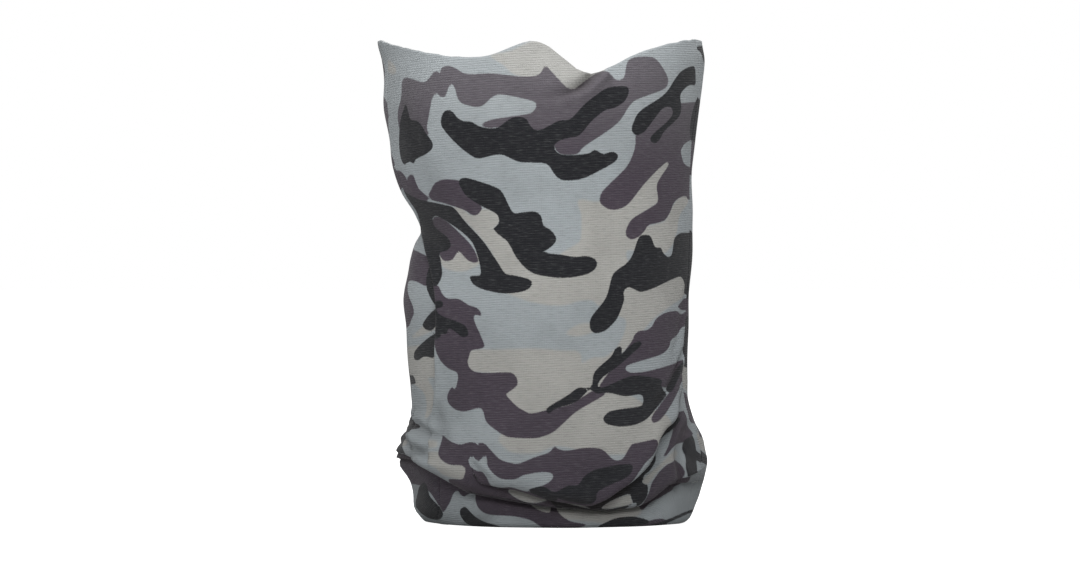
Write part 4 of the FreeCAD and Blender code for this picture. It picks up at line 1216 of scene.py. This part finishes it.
BLUE = colour(192, 200, 204)
BEIGE = colour(206, 205, 200)
# Colour of the painted shade in folds and creases.
PURPLE = colour(88, 78, 90)
BLACK = colour(38, 39, 44)
PAINTED_FOLD_SHADE_TINT = colour(40, 34, 31)
# Colour of the darker yarn streaks, also used for painted shade in the row troughs.
UNDYED = colour(226, 228, 228)
# Colour of the painted shade towards the lower end.
STREAK_AND_ROW_SHADE_DARK = colour(24, 25, 28)
LOWER_SHADE_TINT = colour(30, 31, 34)
EDGE_SOFTNESS = {"beige": 0.9, "purple": 0.32, "black": 0.28}       # of each printed layer, in millimetres
FRAY = 0.7
STRETCHED = (0.16, 0.21)     # metres of height over which the cloth gets paler, stretched over the face
# The next range gives painted shade, darker towards the gathered lower end.
LOWER_SHADE_RANGE = (0.13, 0.03)          # and over which it gets darker towards the gathered end
KNIT_RELIEF, GRAIN_RELIEF = 0.00012, 0.0001


def knit_height(shader, cloth):
    """Rows and columns of knitted loops, a little uneven."""
    parts = shader.tree.nodes.new("ShaderNodeSeparateXYZ")
    shader.put(parts.inputs[0], cloth)
    u, v = parts.outputs[0], parts.outputs[1]
    drift = shader.times(shader.noise(shader.stretch(cloth, 0.05, 0.4), 1.0), 5.0)
    slant = shader.plus(shader.times(u, 0.22), drift)
    courses = shader.math("SINE", shader.plus(shader.times(v, 2 * math.pi / COURSE), slant))
    wales = shader.math("SINE", shader.times(u, 2 * math.pi / WALE))
    return courses, wales


def fibre_fleck(shader, cloth):
    return shader.noise(shader.stretch(cloth, 0.5, 2.2), 1.5, 2.0)


def print_edges(shader, cloth):
    """How much of each printed layer covers the cloth, with slightly frayed edges."""
    fray = shader.times(shader.math("SUBTRACT", shader.noise(cloth, 1.6, 2.0), 0.5), FRAY)
    edges = []
    for name, softness in EDGE_SOFTNESS.items():
        edges.append(shader.ramp(shader.plus(shader.attribute(name), fray), -softness, softness))
    return edges


def printed_knit():
    """The printed side: colours, undyed stitches showing through, stretched places, darker yarn streaks,
    painted shade in the row troughs, towards the lower end and in the folds, and a slight painted highlight
    on the row crests.
    """
    shader = Shader("printed_knit")
    cloth = shader.attribute("cloth", "Vector")
    courses, wales = knit_height(shader, cloth)
    beige, purple, black = print_edges(shader, cloth)
    streak = shader.noise(shader.stretch(cloth, 0.12, 1.0), 1.9, 4.0)
    fleck = fibre_fleck(shader, cloth)
    patch = shader.noise(cloth, 0.03, 3.0)
    height = shader.tree.nodes.new("ShaderNodeSeparateXYZ")
    shader.put(height.inputs[0], shader.tree.nodes.new("ShaderNodeNewGeometry").outputs["Position"])
    z = height.outputs["Z"]
    stitches = shader.ramps((streak, 0.5, 0.72, 0.11), (fleck, 0.58, 0.75, 0.07))
    # A slight painted highlight on the crests of the knitted rows, added to the undyed stitches.
    stitches = shader.plus(stitches, shader.times(shader.math("MAXIMUM", courses, 0.0), 0.03))
    # Darker yarn in streaks and patches, and painted shade in the troughs between the knitted rows.
    streaks_and_row_shade = shader.ramps((streak, 0.5, 0.3, 0.16), (courses, -0.2, -1.0, 0.10), (patch, 0.55, 0.35, 0.08))
    shade = shader.mix(beige, BLUE, BEIGE)
    for factor, tint in ((purple, PURPLE),
                         (shader.ramps((z, *STRETCHED, 0.13)), UNDYED),
                         (black, BLACK),
                         # undyed stitches showing through, with a slight painted highlight on the row crests
                         (shader.times(stitches, 0.62), UNDYED),
                         # darker yarn streaks, and painted shade in the row troughs
                         (streaks_and_row_shade, STREAK_AND_ROW_SHADE_DARK),
                         # painted shade, darker towards the gathered lower end
                         (shader.ramps((z, *LOWER_SHADE_RANGE, 0.32)), LOWER_SHADE_TINT),
                         # painted shade in the folds and creases
                         (shader.times(shader.attribute("shade"), 0.55), PAINTED_FOLD_SHADE_TINT)):
        shade = shader.mix(factor, shade, tint)
    finish_knit(shader, shade, courses, wales, fleck)
    return shader.material


def knit_reverse():
    """The unprinted side, with the print just showing through."""
    shader = Shader("knit_reverse")
    cloth = shader.attribute("cloth", "Vector")
    courses, wales = knit_height(shader, cloth)
    fleck = fibre_fleck(shader, cloth)
    dark = shader.math("MAXIMUM", shader.attribute("purple"), shader.attribute("black"))
    shade = shader.mix(shader.ramps((dark, -1.0, 1.0, 0.16)), UNDYED, PURPLE)
    shade = shader.mix(shader.ramps((fleck, 0.4, 0.7, 0.12)), shade, BLUE)
    finish_knit(shader, shade, courses, wales, fleck)
    return shader.material


def finish_knit(shader, shade, courses, wales, fleck):
    """Colour, loops as fine relief, and a dull sheen."""
    height = shader.plus(shader.plus(shader.times(courses, 0.6), shader.times(wales, 0.25)), fleck)
    shader.bump(height, KNIT_RELIEF)
    shader.set("Base Color", shade)
    shader.set("Roughness", shader.plus(shader.times(fleck, 0.15), 0.75))
    shader.set("Specular IOR Level", 0.25)
    shader.set("Sheen Weight", 0.12)
    shader.set("Sheen Roughness", 0.5)


def plain_cloth(name, tint, roughness, scale):
    """One-colour woven or spun material with a fine grain."""
    shader = Shader(name)
    coordinates = shader.tree.nodes.new("ShaderNodeTexCoord").outputs["Object"]
    grain = shader.noise(coordinates, scale, 3.0)
    darker = tuple(v * 0.8 for v in tint[:3]) + (1,)
    shader.set("Base Color", shader.mix(shader.ramp(grain, 0.35, 0.7), tint, darker))
    shader.set("Roughness", roughness)
    shader.bump(grain, GRAIN_RELIEF)
    return shader.material


# ---------------------------------------------------------------- pieces

EDGE_BACK = SEAM_TURN / AROUND      # a panel's turned edge stands this much back from the seam
JOIN_UNDER = 4.0                    # the join lies this far forward of the jaw crease, under the roll


def front_left(z):
    return jaw_edge(z) + EDGE_BACK


def front_right(z):
    return straight_seam(z) - EDGE_BACK


def jaw_join(z):
    """Where the two panels are joined on the left: below the jaw this is hidden under the rolled edge."""
    return jaw_edge(z) + JOIN_UNDER * roll(z) / AROUND


def back_start(z):
    return straight_seam(z) + EDGE_BACK


def back_end(z):
    return jaw_join(z) + 2 * math.pi - EDGE_BACK


def hand_over(piece, node):
    """The piece takes the place of a CAD node on the only body."""
    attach(piece, "root")
    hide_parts(node)


def make_panels():
    materials = (printed_knit(), knit_reverse())
    coarse = 1.0
    plans = (("front", front_left, front_right, FRONT_STEP, True, front_print),
             ("back", back_start, back_end, BACK_STEP, False, back_print))
    for side, left_at, right_at, cell, rolled, printed in plans:
        grid, cloth, angles, heights, zones, thick = panel_grid(left_at, right_at, cell * coarse, rolled)
        layers = dict(zip(EDGE_SOFTNESS, printed(angles, heights, zones)))
        # Painted shade in the folds, carried as the shade attribute.
        layers["shade"] = painted_fold_shade(angles, heights, zones)
        piece = closed_cloth(f"{side}_cloth", grid, cloth, layers, materials, thick)
        hand_over(piece, f"{side}_panel")


SEAM_FOOT, SEAM_TOP, STITCH = 56.0, 226.0, 3.0
ROLLED_DEPTH = 2.0                  # threads lie this much deeper below the rolled edge
TAPE = 0.2                          # thickness of the label


def seam_place(angle_at, z, along, depth):
    """Point near a seam: along is millimetres around the tube, depth is inwards."""
    z = np.atleast_1d(np.asarray(z, float))
    if angle_at is jaw_join:
        depth = depth + ROLLED_DEPTH * step(ROLL_TOP + 8, ROLL_TOP - 4, z)
    return place(angle_at(z) + along / AROUND, z, -depth + 0 * z)[0]


def make_threads():
    """Three-thread overlock along each seam. A stitch's points are (share of its length, along, depth)."""
    thread = plain_cloth("seam_thread", colour(190, 192, 196), 0.6, 3000.0)
    threads = {"needle_thread": [(0.0, 0.0, 2.2), (0.35, 0.0, 2.2), (0.5, 0.0, 1.6), (0.65, 0.0, 2.2)],
               "upper_looper_thread": [(0.0, -0.6, 2.3), (0.5, -4.2, 2.3)],
               "lower_looper_thread": [(0.0, 0.6, 2.3), (0.5, 4.2, 2.3)]}
    for side, angle_at in (("left", straight_seam), ("right", jaw_join)):
        for kind, stitch in threads.items():
            line = []
            for z in np.arange(SEAM_FOOT, SEAM_TOP, STITCH):
                for share, along, depth in stitch:
                    line.append(seam_place(angle_at, z + share * STITCH, along, depth))
            piece = thread_object(f"{side}_{kind}_stitches", line, thread)
            hand_over(piece, f"{side}_{kind}")


def make_label():
    """Blank care label, folded over and caught in the seam, lying against the inside."""
    box_low, box_high = (np.array(corner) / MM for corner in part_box("care_label"))
    length = (box_high[1] - box_low[1]) * 0.96
    shares = np.linspace(0, 1, 22)
    profile = [(share * length, 2.6 + 1.2 * math.sin(math.pi * share)) for share in shares]
    profile += [(length + 0.3, 3.0)]
    profile += [(share * length, 3.3 + 1.6 * math.sin(math.pi * share)) for share in shares[::-1]]
    seam, away = (straight_seam, 1) if box_high[0] > middle[0] else (jaw_join, -1)
    grid = []
    for z in np.linspace(box_low[2], box_high[2], 13):
        grid.append([seam_place(seam, z, away * along, depth) for along, depth in profile])
    grid = np.array(grid)
    tape = plain_cloth("label_tape", colour(214, 214, 210), 0.45, 900.0)
    flat = np.zeros(grid.shape[:2] + (2,))
    piece = closed_cloth("folded_care_label", grid, flat, {}, (tape, tape), np.full(grid.shape[:2], TAPE))
    hand_over(piece, "care_label")


# ---------------------------------------------------------------- studio

# This section is in metres.
FLOOR_REACH = 60.0
FLOOR_SIDES = 48
FLOOR_DROP = -0.0004     # just under the lowest ply


def make_stage():
    """Plain pale floor, wide enough to meet the background behind the tube from every side."""
    points = [(0, 0, 0)]
    for i in range(FLOOR_SIDES):
        angle = 2 * math.pi * i / FLOOR_SIDES
        points.append((FLOOR_REACH * math.cos(angle), FLOOR_REACH * math.sin(angle), 0))
    faces = [(0, i + 1, (i + 1) % FLOOR_SIDES + 1) for i in range(FLOOR_SIDES)]
    mesh = bpy.data.meshes.new("studio_floor")
    mesh.from_pydata(points, [], faces)
    floor = link("studio_floor", mesh)
    floor.location.z = FLOOR_DROP
    shader = Shader("studio_white")
    shader.set("Base Color", (0.62, 0.62, 0.62, 1))
    shader.set("Roughness", 1.0)
    shader.set("Specular IOR Level", 0.0)
    shader.set("Emission Color", (1, 1, 1, 1))
    shader.set("Emission Strength", shader.tree.nodes.new("ShaderNodeLightPath").outputs["Is Camera Ray"])
    mesh.materials.append(shader.material)


FILL = 0.19
LIGHT_TARGET = (0, 0, 0.12)
# Name, place, size and watts.
LIGHTS = (("key", (-0.15, -2.2, 1.0), (0.8, 0.6), 18.2),
          ("behind_left", (-0.45, 2.2, 1.0), (1.0, 1.0), 8.0),
          ("behind_right", (0.45, 2.2, 1.0), (1.0, 1.0), 8.0),
          ("overhead", (0, -0.35, 1.7), (1.2, 1.0), 13.5))


def aim(obj, target):
    obj.rotation_euler = (Vector(target) - obj.location).to_track_quat("-Z", "Y").to_euler()


def add_light(name, place_at, size, power):
    light = bpy.data.lights.new(name, "AREA")
    light.shape = "RECTANGLE"
    light.size, light.size_y = size
    light.energy = power
    obj = link(name, light)
    obj.location = place_at
    aim(obj, LIGHT_TARGET)


def make_studio():
    for light in LIGHTS:
        add_light(*light)
    world = bpy.data.worlds.new("studio")
    world.use_nodes = True
    tree = world.node_tree
    background = tree.nodes["Background"]
    background.inputs["Color"].default_value = (1.0, 1.0, 1.0, 1)
    to_camera = tree.nodes.new("ShaderNodeLightPath").outputs["Is Camera Ray"]
    strength = tree.nodes.new("ShaderNodeMapRange")
    strength.inputs["To Min"].default_value = FILL
    strength.inputs["To Max"].default_value = 1.0
    tree.links.new(to_camera, strength.inputs["Value"])
    tree.links.new(strength.outputs["Result"], background.inputs["Strength"])
    bpy.context.scene.world = world
    bpy.context.scene.view_settings.view_transform = "Standard"


def make_camera():
    camera = bpy.data.cameras.new("camera")
    camera.sensor_width = 36.0
    camera.lens = camera.sensor_width * EYE_BACK / FRAME_WIDTH
    camera.clip_start = 0.05
    obj = link("camera", camera)
    obj.location = (EYE_SIDE * MM, -EYE_BACK * MM, EYE_HEIGHT * MM)
    aim(obj, (EYE_SIDE * MM, 0.0, AIM_HEIGHT * MM))
    bpy.context.scene.camera = obj


make_panels()
make_threads()
make_label()
make_stage()
make_studio()
make_camera()
